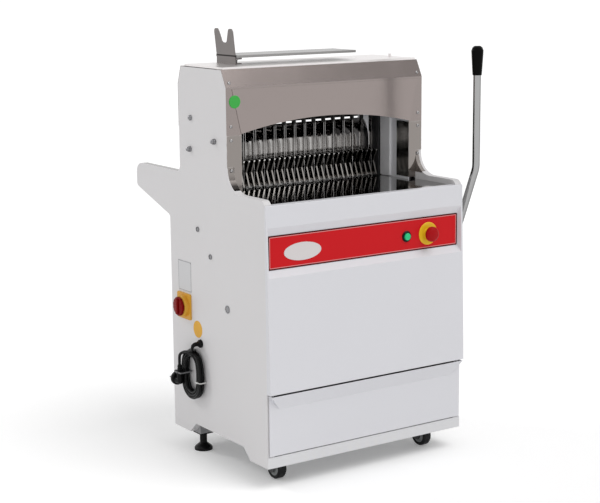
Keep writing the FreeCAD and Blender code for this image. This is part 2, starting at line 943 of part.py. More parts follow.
def crank_bearings():
    housings = []
    for face, sense in ((beam_front, -1), (beam_rear + beam_thick, 1)):
        profile = [(bearing_flange, 0), (bearing_flange, bearing_radius + 6), (0, bearing_radius + 10),
                   (0, bearing_radius), (-beam_thick, bearing_radius), (-beam_thick, 0)]
        housing = turned([(along * sense, radius) for along, radius in profile],
                         Vector(0, face, crank_height), (0, 1, 0))
        bore = rod("y", 0, crank_height, shaft_radius + running_gap, face - 20, face + 20)
        housings.append(housing.cut(bore))
    return Part.makeCompound(housings)


def crankshaft():
    shaft = rod("y", 0, crank_height, shaft_radius, pulley_line - pulley_width / 2 - shaft_end,
                beam_rear + beam_thick + bearing_flange + 6)
    half = eccentric_thick / 2
    front = rod("y", crank_throw, crank_height, eccentric_radius, front_frame_line - half,
                front_frame_line + half)
    rear = rod("y", -crank_throw, crank_height, eccentric_radius, rear_frame_line - half,
               rear_frame_line + half)
    return fused([shaft, front, rear])


def pulley(x, height, pitch, bore):
    outer = pitch + belt_thick / 2
    inner = pitch - belt_thick / 2
    half = pulley_width / 2
    groove = belt_width / 2 + belt_side_gap
    profile = [(-half, bore), (-half, outer), (-groove, outer), (-groove + 1, inner),
               (groove - 1, inner), (groove, outer), (half, outer), (half, bore)]
    return turned(profile, Vector(x, pulley_line, height), (0, 1, 0))


def crank_pulley():
    return pulley(0, crank_height, crank_pulley_pitch, shaft_radius)


def motor_pulley():
    wheel = pulley(motor_x, motor_height, motor_pulley_pitch, motor_shaft)
    shaft = rod("y", motor_x, motor_height, motor_shaft, motor_rear - 25,
                pulley_line + pulley_width / 2 + shaft_end)
    return fused([wheel, shaft])


def belt_loop(crank_radius, motor_pulley_radius):
    crank = Vector(0, crank_height, 0)
    small = Vector(motor_x, motor_height, 0)
    away = small - crank
    heading = math.atan2(away.y, away.x)
    opening = math.acos((crank_radius - motor_pulley_radius) / away.Length)

    def at(centre, radius, angle):
        point = centre + Vector(math.cos(angle), math.sin(angle), 0) * radius
        return Vector(point.x, pulley_line - belt_width / 2 + belt_side_gap, point.y)

    first = at(crank, crank_radius, heading + opening)
    second = at(small, motor_pulley_radius, heading + opening)
    third = at(small, motor_pulley_radius, heading - opening)
    fourth = at(crank, crank_radius, heading - opening)
    edges = [
        Part.makeLine(first, second),
        Part.Arc(second, at(small, motor_pulley_radius, heading), third).toShape(),
        Part.makeLine(third, fourth),
        Part.Arc(fourth, at(crank, crank_radius, heading + math.pi), first).toShape(),
    ]
    return Part.Face(Part.Wire(edges))


def drive_belt():
    gap = running_gap
    half = belt_thick / 2
    outer = belt_loop(crank_pulley_pitch + half, motor_pulley_pitch + half)
    inner = belt_loop(crank_pulley_pitch - half + gap, motor_pulley_pitch - half + gap)
    return outer.cut(inner).extrude(Vector(0, belt_width - 2 * belt_side_gap, 0))


def motor():
    length = motor_rear - motor_front
    profile = [(0, 0), (0, motor_radius - 8), (6, motor_radius), (length - 10, motor_radius),
               (length, motor_radius - 10), (length, 0)]
    body = turned(profile, Vector(motor_x, motor_front, motor_height), (0, 1, 0))
    foot_half = motor_radius - 6
    foot = box(motor_x - foot_half, motor_x + foot_half, motor_front + 25, motor_rear - 25, deck_top,
               motor_height - 20)
    terminal = box(motor_x - 40, motor_x + 10, motor_front + 30, motor_rear - 40,
                   motor_height + 30, motor_height + motor_radius + 8)
    bore = rod("y", motor_x, motor_height, motor_shaft + running_gap, motor_rear - 30, motor_rear + 1)
    return fused([body, foot, terminal]).cut(bore)


def motor_deck():
    return box(-cheek_inner, cheek_inner, cheek_front + 4, pulley_line - 13, deck_top - deck_sheet,
               deck_top)


# ---------------------------------------------------------------- pusher
def pusher_comb():
    back = pusher_line - plate_sheet
    plate_front = back - comb_sheet
    tip = front_frame_line - 19
    last = blade_places()[-1]
    plate = box(-last, last, plate_front, back, finger_low, finger_top)
    fingers = []
    profile = sharp((plate_front + 1, finger_low), (tip, finger_low), (tip + 14, finger_low + 36),
                    (tip - 2, finger_top), (tip + 20, finger_top + 2), (plate_front + 1, finger_top - 8))
    for place in blade_places()[:-1]:
        middle = place + blade_pitch / 2
        fingers.append(prism("x", profile, middle - finger_width / 2, middle + finger_width / 2))
    return fused([plate] + fingers)


def pusher_plate():
    # curved sheet that leans back above the fingers
    front = pusher_line - plate_sheet
    half = blade_places()[-1] + plate_margin
    corners = [(front, finger_low), (front, finger_top + 15), (front + 5, finger_top + 49),
               (front + 17, finger_top + 71), (front + 30, finger_top + 81)]
    outer = Part.BSplineCurve()
    outer.interpolate([Vector(-half, y, z) for y, z in corners[1:]],
                      InitialTangent=Vector(0, 0, 1), FinalTangent=Vector(0, 1, 0.45))
    shoulder = Vector(-half, corners[1][0], corners[1][1])
    foot = Vector(-half, corners[0][0], corners[0][1])
    front_edges = Part.Wire([Part.makeLine(foot, shoulder), outer.toShape()])
    skin = front_edges.extrude(Vector(2 * half, 0, 0))
    return skin.makeOffsetShape(-plate_sheet, 0.01, fill=True)


def drive_bar():
    lean = math.radians(lever_lean)
    pin_y = lever_pivot_y - lever_arm * math.sin(lean)
    pin_low = lever_pivot_height + lever_arm * math.cos(lean)
    pin_high = lever_pivot_height + lever_arm
    bar_low = pin_low - 0.5
    bar_high = bar_low + bar_deep
    head_low = pin_low - pin_radius - 10
    head_high = pin_high + pin_radius + 9
    foot_top = rod_height - block_rise
    near = pin_y - head_half
    far = pin_y + head_half
    corners = [(block_front + 24, foot_top, 0), (block_front + 24, bar_low, 8), (far, bar_low, 5),
               (far, head_low, 5), (near, head_low, 5), (near, head_high, 5), (far, head_high, 1),
               (far, bar_high, 1), (block_front, bar_high, 5), (block_front, foot_top, 0)]
    bar = prism("x", corners, bar_inner, bar_outer)
    half = pin_radius + pin_gap
    round_end = half - 0.01
    slot = prism("x", [(pin_y - half, pin_low - half, round_end), (pin_y + half, pin_low - half, round_end),
                       (pin_y + half, pin_high + half, round_end),
                       (pin_y - half, pin_high + half, round_end)], bar_inner - 1, bar_outer + 1)
    return bar.cut(slot)


def pusher_carriage():
    inner = rod_span - block_half
    cross = square_tube(-inner, inner, pusher_line, pusher_line + frame_bar, finger_low,
                        finger_low + frame_bar, "x")
    block = box(inner, rod_span + block_half, block_front, block_rear, rod_height - block_rise,
                rod_height + block_rise)
    bore = rod("y", rod_span, rod_height, rod_radius + running_gap, block_front - 1, block_rear + 1)
    side = fused([block, drive_bar()]).cut(bore)
    return fused([cross, side, mirrored(side)])


# ---------------------------------------------------------------- lever
def lever_point(distance, x):
    lean = math.radians(lever_lean)
    return Vector(x, lever_pivot_y - distance * math.sin(lean),
                  lever_pivot_height + distance * math.cos(lean))


def lever_shaft():
    shaft = rod("x", lever_pivot_y, lever_pivot_height, shaft_radius, 10 - half_width, lever_plane + 8)
    near = arm_line
    thick = arm_thick
    pin_centre = lever_point(lever_arm, 0)
    lean = math.radians(lever_lean)
    side = Vector(0, math.cos(lean), math.sin(lean))
    hub_centre = Vector(near, lever_pivot_y, lever_pivot_height)
    tip_centre = Vector(near, pin_centre.y, pin_centre.z)
    corners = [hub_centre + side * (hub_radius - 2), tip_centre + side * arm_tip_radius,
               tip_centre - side * arm_tip_radius, hub_centre - side * (hub_radius - 2)]
    web = Part.Face(Part.makePolygon(corners + [corners[0]])).extrude(Vector(thick, 0, 0))
    hub = rod("x", lever_pivot_y, lever_pivot_height, hub_radius, near - 4, near + thick)
    tip = rod("x", pin_centre.y, pin_centre.z, arm_tip_radius, near, near + thick)
    pin = rod("x", pin_centre.y, pin_centre.z, pin_radius, bar_inner - 1.2, near + thick)
    arm = fused([web, hub, tip, pin])
    return fused([shaft, arm, mirrored(arm)])


def lever_tube():
    pivot = Vector(lever_plane, lever_pivot_y, lever_pivot_height)
    bend = Vector(lever_plane, lever_front, lever_bend)
    top = Vector(lever_plane, lever_front, lever_end)
    down = (pivot - bend).normalize()
    half = down.getAngle(Vector(0, 0, 1)) / 2
    tangent = bend_radius / math.tan(half)
    start = bend + down * tangent
    end = bend + Vector(0, 0, 1) * tangent
    middle = bend + (down + Vector(0, 0, 1)).normalize() * (bend_radius / math.sin(half) - bend_radius)
    edges = [Part.makeLine(pivot, start), Part.Arc(start, middle, end).toShape(), Part.makeLine(end, top)]
    section = Part.Wire([Part.makeCircle(tube_radius, pivot, bend - pivot)])
    tube = Part.Wire(edges).makePipeShell([section], True, False)
    hub = rod("x", lever_pivot_y, lever_pivot_height, hub_radius, lever_plane - hub_half,
              lever_plane + hub_half)
    bore = rod("x", lever_pivot_y, lever_pivot_height, shaft_radius, lever_plane - 20, lever_plane + 8)
    return fused([tube, hub]).cut(bore)


def lever_grip():
    top = lever_end
    profile = [(grip_low, tube_radius), (grip_low, tube_radius + 2), (grip_low + 6, tube_radius + 2.6),
               (grip_high - 28, grip_radius - 0.8), (grip_high - 12, grip_radius),
               (grip_high - 4, grip_radius - 3), (grip_high, grip_radius - 8), (grip_high, 0),
               (top, 0), (top, tube_radius)]
    return turned(profile, Vector(lever_plane, lever_front, 0), (0, 0, 1))


def lever_bushes():
    bore = shaft_radius + running_gap

    def bush(start, end, flange_start, flange_end):
        body = rod("x", lever_pivot_y, lever_pivot_height, bush_radius, start, end)
        flange = rod("x", lever_pivot_y, lever_pivot_height, bush_radius + 5, flange_start, flange_end)
        hole = rod("x", lever_pivot_y, lever_pivot_height, bore, start - 5, end + 5)
        return fused([body, flange]).cut(hole)

    cheek_bush = bush(cheek_inner - 2, cheek_inner + inner_sheet + 1, cheek_inner - 4, cheek_inner)
    panel_bush = bush(half_width - 12, half_width + 4, half_width, half_width + 4)
    return Part.makeCompound([cheek_bush, mirrored(cheek_bush), panel_bush])


# ---------------------------------------------------------------- casters and feet
def caster_fork():
    plate_top = rail_bottom
    middle = caster_span
    plate_low = plate_top - fork_plate
    plate = box(middle - 30, middle + 30, caster_line - 28, caster_line + 28, plate_low, plate_top)
    inner = wheel_width / 2 + fork_gap
    corners = [(caster_line - 24, plate_low, 0), (caster_line + 24, plate_low, 0),
               (caster_line + 12, wheel_radius - 12, 11), (caster_line - 12, wheel_radius - 12, 11)]
    right = prism("x", corners, middle + inner, middle + inner + 2.5)
    left = prism("x", corners, middle - inner - 2.5, middle - inner)
    axle = rod("x", caster_line, wheel_radius, axle_radius, middle - inner - 5, middle + inner + 5)
    return fused([plate, left, right, axle])


def caster_forks():
    return pair(caster_fork())


def caster_wheel():
    half = wheel_width / 2
    bore = axle_radius + running_gap
    profile = [(-half - hub_proud, bore), (-half - hub_proud, 9), (-half, 9), (-half, 15), (-half + 2, 17),
               (-half + 2, 22), (-half, 24), (-half, wheel_radius - 3), (-half + 4, wheel_radius),
               (half - 4, wheel_radius), (half, wheel_radius - 3), (half, 24), (half - 2, 22),
               (half - 2, 17), (half, 15), (half, 9), (half + hub_proud, 9), (half + hub_proud, bore)]
    return turned(profile, Vector(caster_span, caster_line, wheel_radius), (1, 0, 0))


def leveling_feet():
    profile = [(0, 0), (0, foot_radius), (6, foot_radius), (10, foot_radius - 3), (17, foot_neck + 3),
               (20, foot_neck), (leg_bottom - foot_insert, foot_neck), (leg_bottom - foot_insert, 0)]
    foot = turned(profile, Vector(foot_span, foot_line, 0), (0, 0, 1))
    half = tube_width / 2
    insert = box(foot_span - half, foot_span + half, foot_line - half, foot_line + half,
                 leg_bottom - foot_insert, leg_bottom)
    plug_half = half - tube_wall
    plug = box(foot_span - plug_half, foot_span + plug_half, foot_line - plug_half,
               foot_line + plug_half, leg_bottom, leg_bottom + foot_plug)
    return pair(fused([foot, insert, plug]))


# ---------------------------------------------------------------- isolator, gland, cord
def isolator_plate():
    outside = -half_width
    near = isolator_y - isolator_half
    far = isolator_y + isolator_half
    low = isolator_height - isolator_half
    high = isolator_height + isolator_half
    plate = prism("x", [(near, low, 5), (far, low, 5), (far, high, 5), (near, high, 5)],
                  outside - isolator_plate_thick, outside)
    boss = turned([(0, 0), (0, isolator_boss), (2 - boss_depth, isolator_boss),
                   (-boss_depth, isolator_boss - 2), (-boss_depth, 0)],
                  Vector(outside - isolator_plate_thick, isolator_y, isolator_height), (1, 0, 0))
    body = rod("x", isolator_y, isolator_height, isolator_body, outside, outside + 30)
    bore = rod("x", isolator_y, isolator_height, knob_stem + running_gap,
               outside - isolator_plate_thick - boss_depth - 1, outside + 18)
    return fused([plate, boss, body]).cut(bore)


def isolator_knob():
    base = -half_width - isolator_plate_thick - boss_depth - running_gap
    front = -half_width - knob_reach
    disc = turned([(0, 0), (0, knob_radius), (2 - knob_disc, knob_radius),
                   (-knob_disc, knob_radius - 2), (-knob_disc, 0)],
                  Vector(base, isolator_y, isolator_height), (1, 0, 0))
    near = isolator_y - knob_half
    far = isolator_y + knob_half
    low = isolator_height - knob_rise
    high = isolator_height + knob_rise
    bend = knob_half - 1
    handle = prism("x", [(near, low, bend), (far, low, bend), (far, high, bend), (near, high, bend)], front,
                   base - knob_disc + 1)
    stem = rod("x", isolator_y, isolator_height, knob_stem, base, base + boss_depth + 20)
    return fused([disc, handle, stem])


def cable_gland():
    outside = -half_width
    profile = [(20, cord_radius), (20, gland_thread), (0, gland_thread), (0, gland_radius),
               (-5, gland_radius), (-5, gland_radius - 2), (-9, gland_radius - 3), (-10, cord_radius)]
    return turned(profile, Vector(outside, gland_y, gland_height), (1, 0, 0))


def cord_lead():
    start = Vector(-half_width + 18, gland_y, gland_height)
    corner = Vector(-half_width - lead_out, gland_y, gland_height)
    aside = coil_y - gland_y - cord_radius
    landing = coil_height + coil_straight + math.sqrt(coil_outer ** 2 - aside ** 2) + 0.1
    end = Vector(-half_width - lead_drop, gland_y, landing)
    return smooth_route([start, corner, end], cord_radius)


def cord_coil():
    # one upright ring with straight sides, as thick as the tied bundle of turns
    corner = coil_corner
    low = coil_height - coil_straight
    high = coil_height + coil_straight
    parts = []
    for side in (1, -1):
        inner = coil_y + side * coil_inner
        outer = coil_y + side * coil_outer
        wire = rounded_loop([(coil_near, inner, corner), (coil_near, outer, corner),
                             (coil_far, outer, corner), (coil_far, inner, corner)], "z", low)
        parts.append(Part.Face(wire).extrude(Vector(0, 0, high - low)))
        if side > 0:
            section = Part.Face(wire)
    parts.append(section.revolve(Vector(0, coil_y, low), Vector(-1, 0, 0), 180))
    section.translate(Vector(0, 0, high - low))
    parts.append(section.revolve(Vector(0, coil_y, high), Vector(1, 0, 0), 180))
    return fused(parts)


def cord_tail():
    level = coil_far - cord_radius
    crown = coil_height + tail_rise - 8
    points = [Vector(plug_x, plug_y, plug_top - 6), Vector(plug_x, plug_y, plug_top + 22),
              Vector(level, coil_y + 8, crown - 2), Vector(level, coil_y - 18, crown + 1)]
    return smooth_route(points, cord_radius)


def cord_plug():
    # angled plug: the cord enters from above and the pins point to the rear
    near = plug_y - plug_deep
    far = plug_y + plug_deep
    back = disc_near + 1
    low = disc_height - disc_radius + 3
    arm = disc_height + plug_deep
    high = plug_top - plug_collar
    bend = plug_round
    block = prism("x", [(near, low, bend), (back, low, 0), (back, arm, 0), (far, arm, bend),
                        (far, high, 0), (near, high, 0)], plug_x - plug_half, plug_x + plug_half)
    collar = turned([(0, cord_radius), (0, cord_radius + 2), (plug_collar, plug_half - 1),
                     (plug_collar, cord_radius)], Vector(plug_x, plug_y, plug_top), (0, 0, -1))
    disc = turned([(0, 0), (0, disc_radius - 3), (3, disc_radius), (disc_thick - 1, disc_radius),
                   (disc_thick, disc_radius - 1), (disc_thick, 0)],
                  Vector(disc_x, disc_near, disc_height), (0, 1, 0))
    pins = []
    for offset in (-pin_spacing, pin_spacing):
        start = disc_near + disc_thick
        pins.append(rod("y", disc_x + offset, disc_height, plug_pin, start - 1, start + plug_pin_length))
    return fused([block, collar, disc] + pins)


# ---------------------------------------------------------------- bag holder and fasteners
def bag_fork():
    inner = fork_x + fork_sheet
    near = fork_near
    far = fork_far
    middle = (near + far) / 2
    foot = box(fork_x, fork_x + fork_foot, near + 12, far - 12, lid_top, lid_top + fork_sheet)
    fold = tray_level - 1
    riser = box(fork_x, inner, near, far, lid_top, fold)
    low = tray_level + 33
    high = tray_level + 69
    tip = fork_tip
    blade = prism("x", [(near, fold, 0), (far, fold, 0), (far, high, tip), (middle + fork_mouth, high, tip),
                        (middle + fork_notch, low, tip), (middle - fork_notch, low, tip),
                        (middle - fork_mouth, high, tip), (near, high, tip)], fork_x, inner)
    blade.rotate(Vector(inner, 0, fold), Vector(0, 1, 0), -fork_lean)
    return fused([foot, riser, blade])


def bag_tray():
    sheet = hood_sheet
    left = fork_x + fork_sheet
    near = bag_tray_near
    far = bag_tray_far
    right = bag_tray_right
    outer = box(left, right, near, far, tray_level - 5, tray_level + sheet)
    inner = box(left + sheet, right - sheet, near + sheet, far - sheet, tray_level - 6, tray_level)
    bracket = box(left, left + sheet, fork_near + 12, fork_far - 12, tray_level - 17, tray_level)
    return fused([outer.cut(inner), bracket])


def hood_screws():
    heads = []
    span = half_width - 13
    for height in (seam_height - 88, seam_height - 12, seam_height + 23):
        heads.append(turned([(0, 0), (0, 5), (-1.5, 4.4), (-2.6, 2.5), (-3, 0)],
                            Vector(span, tower_front, height), (0, 1, 0)))
    brow = Vector(0, top_front - tower_front, tower_top - tower_shoulder).normalize()
    outward = Vector(0, -brow.z, brow.y)
    seat = Vector(span, tower_front, tower_shoulder) + brow * 12
    heads.append(turned([(0, 0), (0, 5), (1.5, 4.4), (2.6, 2.5), (3, 0)], seat, outward))
    return Part.makeCompound(heads + [mirrored(head) for head in heads])


def panel_fasteners():
    outside = -half_width
    heads = []
    places = ((114, tower_top - 132, 8, 5), (119, tower_top - 214, 7, 6), (-6, tower_top - 183.5, 7, 6),
              (89, table_top - 100, 5, 2.5), (26, table_top - 164, 5, 2.5),
              (-54.5, table_top - 288.5, 9, 2))
    for y, height, radius, rise in places:
        heads.append(turned([(0, 0), (0, radius), (-rise * 0.6, radius * 0.9), (-rise, radius * 0.5),
                             (-rise, 0)], Vector(outside, y, height), (1, 0, 0)))
    return Part.makeCompound(heads)


export("base_frame", base_frame())
export("left_side_panel", left_side_panel())
export("right_side_panel", right_side_panel())
export("base_rail", base_rail())
export("left_cheek", left_cheek())
export("right_cheek", right_cheek())
export("front_table", front_table())
export("infeed_table", infeed_table())
export("infeed_crossbar", infeed_crossbar())
export("guide_rods", guide_rods())
export("guide_strips", guide_strips())
export("hood_front", hood_front())
export("hood_face", hood_face())
export("hood_posts", hood_posts())
export("rear_hood", rear_hood())
export("top_lid", top_lid())
export("rear_panel", rear_panel())
export("front_cover", front_cover())
export("control_strip", control_strip())
export("start_bezel", start_bezel())
export("start_button", start_button())
export("estop_collar", estop_collar())
export("estop_head", estop_head())
export("drawer_front", drawer_front())
export("drawer_tray", drawer_tray())
export("drawer_runners", drawer_runners())
export("blade_frame_front", blade_frame(front_frame_line))
export("blade_frame_rear", blade_frame(rear_frame_line))
export("blades_front", blades(front_frame_line, 0))
export("blades_rear", blades(rear_frame_line, 1))
export("crank_beams", crank_beams())
export("crank_bearings", crank_bearings())
export("crankshaft", crankshaft())
export("crank_pulley", crank_pulley())
export("motor_pulley", motor_pulley())
export("drive_belt", drive_belt())
export("motor", motor())
export("motor_deck", motor_deck())
export("pusher_comb", pusher_comb())
export("pusher_plate", pusher_plate())
export("pusher_carriage", pusher_carriage())
export("lever_shaft", lever_shaft())
export("lever_tube", lever_tube())
export("lever_grip", lever_grip())
export("lever_bushes", lever_bushes())
export("caster_forks", caster_forks())
export("caster_wheel_left", mirrored(caster_wheel()))
export("caster_wheel_right", caster_wheel())
export("leveling_feet", leveling_feet())
export("isolator_plate", isolator_plate())
export("isolator_knob", isolator_knob())
export("cable_gland", cable_gland())
export("cord_lead", cord_lead())
export("cord_coil", cord_coil())
export("cord_tail", cord_tail())
export("cord_plug", cord_plug())
export("bag_fork", bag_fork())
export("bag_tray", bag_tray())
export("hood_screws", hood_screws())
export("panel_fasteners", panel_fasteners())
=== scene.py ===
import math

import bmesh
import bpy
from mathutils import Matrix, Vector


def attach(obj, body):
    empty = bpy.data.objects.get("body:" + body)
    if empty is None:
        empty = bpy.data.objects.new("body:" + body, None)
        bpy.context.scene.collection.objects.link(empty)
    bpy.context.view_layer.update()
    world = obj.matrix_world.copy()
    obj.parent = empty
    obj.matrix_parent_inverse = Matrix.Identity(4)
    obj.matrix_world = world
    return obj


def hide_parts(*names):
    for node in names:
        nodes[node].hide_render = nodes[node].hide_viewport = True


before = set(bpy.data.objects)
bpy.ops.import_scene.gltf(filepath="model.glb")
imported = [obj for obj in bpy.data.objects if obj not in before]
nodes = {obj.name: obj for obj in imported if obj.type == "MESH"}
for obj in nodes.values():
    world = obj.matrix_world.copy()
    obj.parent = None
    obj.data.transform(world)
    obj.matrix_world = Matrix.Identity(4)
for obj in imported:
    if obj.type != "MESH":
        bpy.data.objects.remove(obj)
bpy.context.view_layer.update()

cabinetCentre = Vector((11.5, 75.75, 0))  # millimetres, from the cabinet's own centre to the frame's origin
print("frame loaded:", len(nodes), "nodes")


def at(x, y, z):
    # a place measured in millimetres from the cabinet's centre on the floor
    return (Vector((x, y, z)) - cabinetCentre) / 1000


# the camera stands front left of the machine, a little above it
cameraSettings = {"place": (-2248, -3273, 1300), "heading": -33.9, "tilt": 10.8, "roll": -0.5,
                  "lens": 90.2, "sensor": 36}
camera = bpy.data.objects.new("sceneCamera", bpy.data.cameras.new("sceneCamera"))
camera.data.lens = cameraSettings["lens"]
camera.data.sensor_width = cameraSettings["sensor"]
camera.matrix_world = (Matrix.Translation(at(*cameraSettings["place"]))
                       @ Matrix.Rotation(math.radians(cameraSettings["heading"]), 4, "Z")
                       @ Matrix.Rotation(math.radians(90 - cameraSettings["tilt"]), 4, "X")
                       @ Matrix.Rotation(math.radians(cameraSettings["roll"]), 4, "Z"))
bpy.context.scene.collection.objects.link(camera)
bpy.context.scene.camera = camera


# small helpers for meshes
def newPiece(name, mesh, material, body="cabinet"):
    # turns a finished bmesh, built in millimetres about the cabinet's centre, into a riding piece
    bmesh.ops.remove_doubles(mesh, verts=mesh.verts, dist=0.001)
    bmesh.ops.recalc_face_normals(mesh, faces=mesh.faces)
    bmesh.ops.translate(mesh, verts=mesh.verts, vec=-cabinetCentre)
    bmesh.ops.scale(mesh, verts=mesh.verts, vec=(0.001, 0.001, 0.001))
    data = bpy.data.meshes.new(name)
    mesh.to_mesh(data)
    mesh.free()
    piece = bpy.data.objects.new(name, data)
    bpy.context.scene.collection.objects.link(piece)
    data.materials.append(material)
    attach(piece, body)
    return piece


def smooth(piece, angle=40):
    for face in piece.data.polygons:
        face.use_smooth = True
    edges = piece.modifiers.new("edges", "EDGE_SPLIT")
    edges.split_angle = math.radians(angle)
    return piece


def spun(mesh, profile, axis, centre, steps=48):
    # profile is (along the axis, radius) in millimetres; a full turn about the axis through centre
    axis = Vector(axis).normalized()
    side = axis.orthogonal().normalized()
    centre = Vector(centre)
    ring = [mesh.verts.new(centre + axis * along + side * radius) for along, radius in profile]
    edges = [mesh.edges.new(two) for two in zip(ring, ring[1:])]
    bmesh.ops.spin(mesh, geom=ring + edges, cent=centre, axis=axis, angle=math.tau, steps=steps,
                   use_merge=True)


def block(mesh, low, high, round=0, segments=2):
    # a box between two corners, its edges rounded
    low, high = Vector(low), Vector(high)
    size = high - low
    made = bmesh.ops.create_cube(mesh, size=1)["verts"]
    bmesh.ops.scale(mesh, verts=made, vec=size)
    bmesh.ops.translate(mesh, verts=made, vec=(low + high) / 2)
    if round:
        edges = list({edge for vert in made for edge in vert.link_edges})
        bmesh.ops.bevel(mesh, geom=edges, offset=round, affect="EDGES", segments=segments, profile=0.5,
                        material=-1)


# shader node groups
def newGroup(name, inputs, outputs):
    group = bpy.data.node_groups.new(name, "ShaderNodeTree")
    for label, kind, value in inputs:
        socket = group.interface.new_socket(name=label, in_out="INPUT", socket_type="NodeSocket" + kind)
        if value is not None:
            socket.default_value = value
    for label, kind in outputs:
        group.interface.new_socket(name=label, in_out="OUTPUT", socket_type="NodeSocket" + kind)
    return group, group.nodes.new("NodeGroupInput").outputs, group.nodes.new("NodeGroupOutput").inputs


def feed(tree, socket, value):
    if isinstance(value, bpy.types.NodeSocket):
        tree.links.new(value, socket)
    else:
        socket.default_value = value


def noise(tree, vector, scale, detail=3, roughness=0.55, distortion=0):
    node = tree.nodes.new("ShaderNodeTexNoise")
    feed(tree, node.inputs["Vector"], vector)
    feed(tree, node.inputs["Scale"], scale)
    node.inputs["Detail"].default_value = detail
    node.inputs["Roughness"].default_value = roughness
    node.inputs["Distortion"].default_value = distortion
    return node.outputs["Fac"]


def calc(tree, operation, *values, clamp=False):
    node = tree.nodes.new("ShaderNodeMath")
    node.operation = operation
    node.use_clamp = clamp
    for socket, value in zip(node.inputs, values):
        feed(tree, socket, value)
    return node.outputs[0]


def between(tree, value, low, high, outLow=0.0, outHigh=1.0):
    node = tree.nodes.new("ShaderNodeMapRange")
    node.interpolation_type = "SMOOTHSTEP"
    for label, given in (("Value", value), ("From Min", low), ("From Max", high), ("To Min", outLow),
                         ("To Max", outHigh)):
        feed(tree, node.inputs[label], given)
    return node.outputs["Result"]


def mixed(tree, share, first, second):
    node = tree.nodes.new("ShaderNodeMix")
    node.data_type = "RGBA"
    feed(tree, node.inputs[0], share)
    feed(tree, node.inputs[6], first)
    feed(tree, node.inputs[7], second)
    return node.outputs[2]


def vectorMath(tree, operation, *values):
    node = tree.nodes.new("ShaderNodeVectorMath")
    node.operation = operation
    for socket, value in zip(node.inputs, values):
        feed(tree, socket, value)
    return node.outputs["Value"] if operation in ("DOT_PRODUCT", "LENGTH") else node.outputs["Vector"]


def scaled(tree, color, amount):
    node = tree.nodes.new("ShaderNodeVectorMath")
    node.operation = "SCALE"
    feed(tree, node.inputs[0], color)
    feed(tree, node.inputs["Scale"], amount)
    return node.outputs["Vector"]


def grey(value):
    return (value, value, value, 1)


# fine orange peel and a broad, faint change of tone and gloss, as sprayed or moulded skins have
skinGroup, skinIn, skinOut = newGroup(
    "sprayedSkin",
    [("Vector", "Vector", None), ("Color", "Color", grey(0.8)), ("Tone", "Float", 0.04),
     ("Grain Scale", "Float", 700.0), ("Roughness", "Float", 0.4), ("Spread", "Float", 0.08)],
    [("Color", "Color"), ("Roughness", "Float"), ("Height", "Float")])
broad = noise(skinGroup, skinIn["Vector"], scale=5.0, detail=4)
fine = noise(skinGroup, skinIn["Vector"], skinIn["Grain Scale"], detail=2)
shade = calc(skinGroup, "MULTIPLY_ADD", calc(skinGroup, "SUBTRACT", broad, 0.5), skinIn["Tone"], 1.0)
feed(skinGroup, skinOut["Color"], scaled(skinGroup, skinIn["Color"], shade))
blotches = noise(skinGroup, skinIn["Vector"], scale=14.0, detail=5, roughness=0.65)
drift = calc(skinGroup, "SUBTRACT", blotches, 0.5)
feed(skinGroup, skinOut["Roughness"],
     calc(skinGroup, "MULTIPLY_ADD", drift, skinIn["Spread"], skinIn["Roughness"], clamp=True))
feed(skinGroup, skinOut["Height"], fine)

# lines drawn along one direction by grinding or polishing belts, with rubbed and smeared patches
grainGroup, grainIn, grainOut = newGroup(
    "beltGrain",
    [("Vector", "Vector", None), ("Color", "Color", grey(0.5)), ("Stretch", "Vector", (1, 60, 60)),
     ("Contrast", "Float", 0.1), ("Roughness", "Float", 0.2), ("Spread", "Float", 0.1)],
    [("Color", "Color"), ("Roughness", "Float"), ("Height", "Float")])
stretched = vectorMath(grainGroup, "MULTIPLY", grainIn["Vector"], grainIn["Stretch"])
lines = noise(grainGroup, stretched, scale=22.0, detail=6, roughness=0.7)
smears = noise(grainGroup, grainIn["Vector"], scale=9.0, detail=5, roughness=0.6, distortion=0.6)
tone = calc(grainGroup, "MULTIPLY_ADD", calc(grainGroup, "SUBTRACT", lines, 0.5), grainIn["Contrast"], 1.0)
feed(grainGroup, grainOut["Color"], scaled(grainGroup, grainIn["Color"], tone))
patch = calc(grainGroup, "ADD", calc(grainGroup, "MULTIPLY", calc(grainGroup, "SUBTRACT", smears, 0.5), 1.3),
             calc(grainGroup, "SUBTRACT", lines, 0.5))
feed(grainGroup, grainOut["Roughness"],
     calc(grainGroup, "MULTIPLY_ADD", patch, grainIn["Spread"], grainIn["Roughness"], clamp=True))
feed(grainGroup, grainOut["Height"], lines)

# corners rubbed lighter or darker by wear, and in some finishes a painted edge highlight or a painted dark rim
# of shade; found by how far a rounded normal leaves the true one
edgeWearAndPaintedLightGroup, wearIn, wearOut = newGroup(
    "cornerWearAndPaintedLight",
    [("Vector", "Vector", None), ("Color", "Color", grey(0.8)), ("Worn Color", "Color", grey(0.6)),
     ("Radius", "Float", 0.0015), ("Amount", "Float", 0.5)],
    [("Color", "Color")])
rounded = edgeWearAndPaintedLightGroup.nodes.new("ShaderNodeBevel")
rounded.samples = 4
feed(edgeWearAndPaintedLightGroup, rounded.inputs["Radius"], wearIn["Radius"])
geometry = edgeWearAndPaintedLightGroup.nodes.new("ShaderNodeNewGeometry")
facing = vectorMath(edgeWearAndPaintedLightGroup, "DOT_PRODUCT", rounded.outputs["Normal"], geometry.outputs["Normal"])
corner = between(edgeWearAndPaintedLightGroup, calc(edgeWearAndPaintedLightGroup, "SUBTRACT", 1.0, facing), low=0.01, high=0.22)
scratches = noise(edgeWearAndPaintedLightGroup, wearIn["Vector"], scale=55.0, detail=5, roughness=0.7)
patchy = calc(edgeWearAndPaintedLightGroup, "MULTIPLY", corner, between(edgeWearAndPaintedLightGroup, scratches, low=0.38, high=0.62))
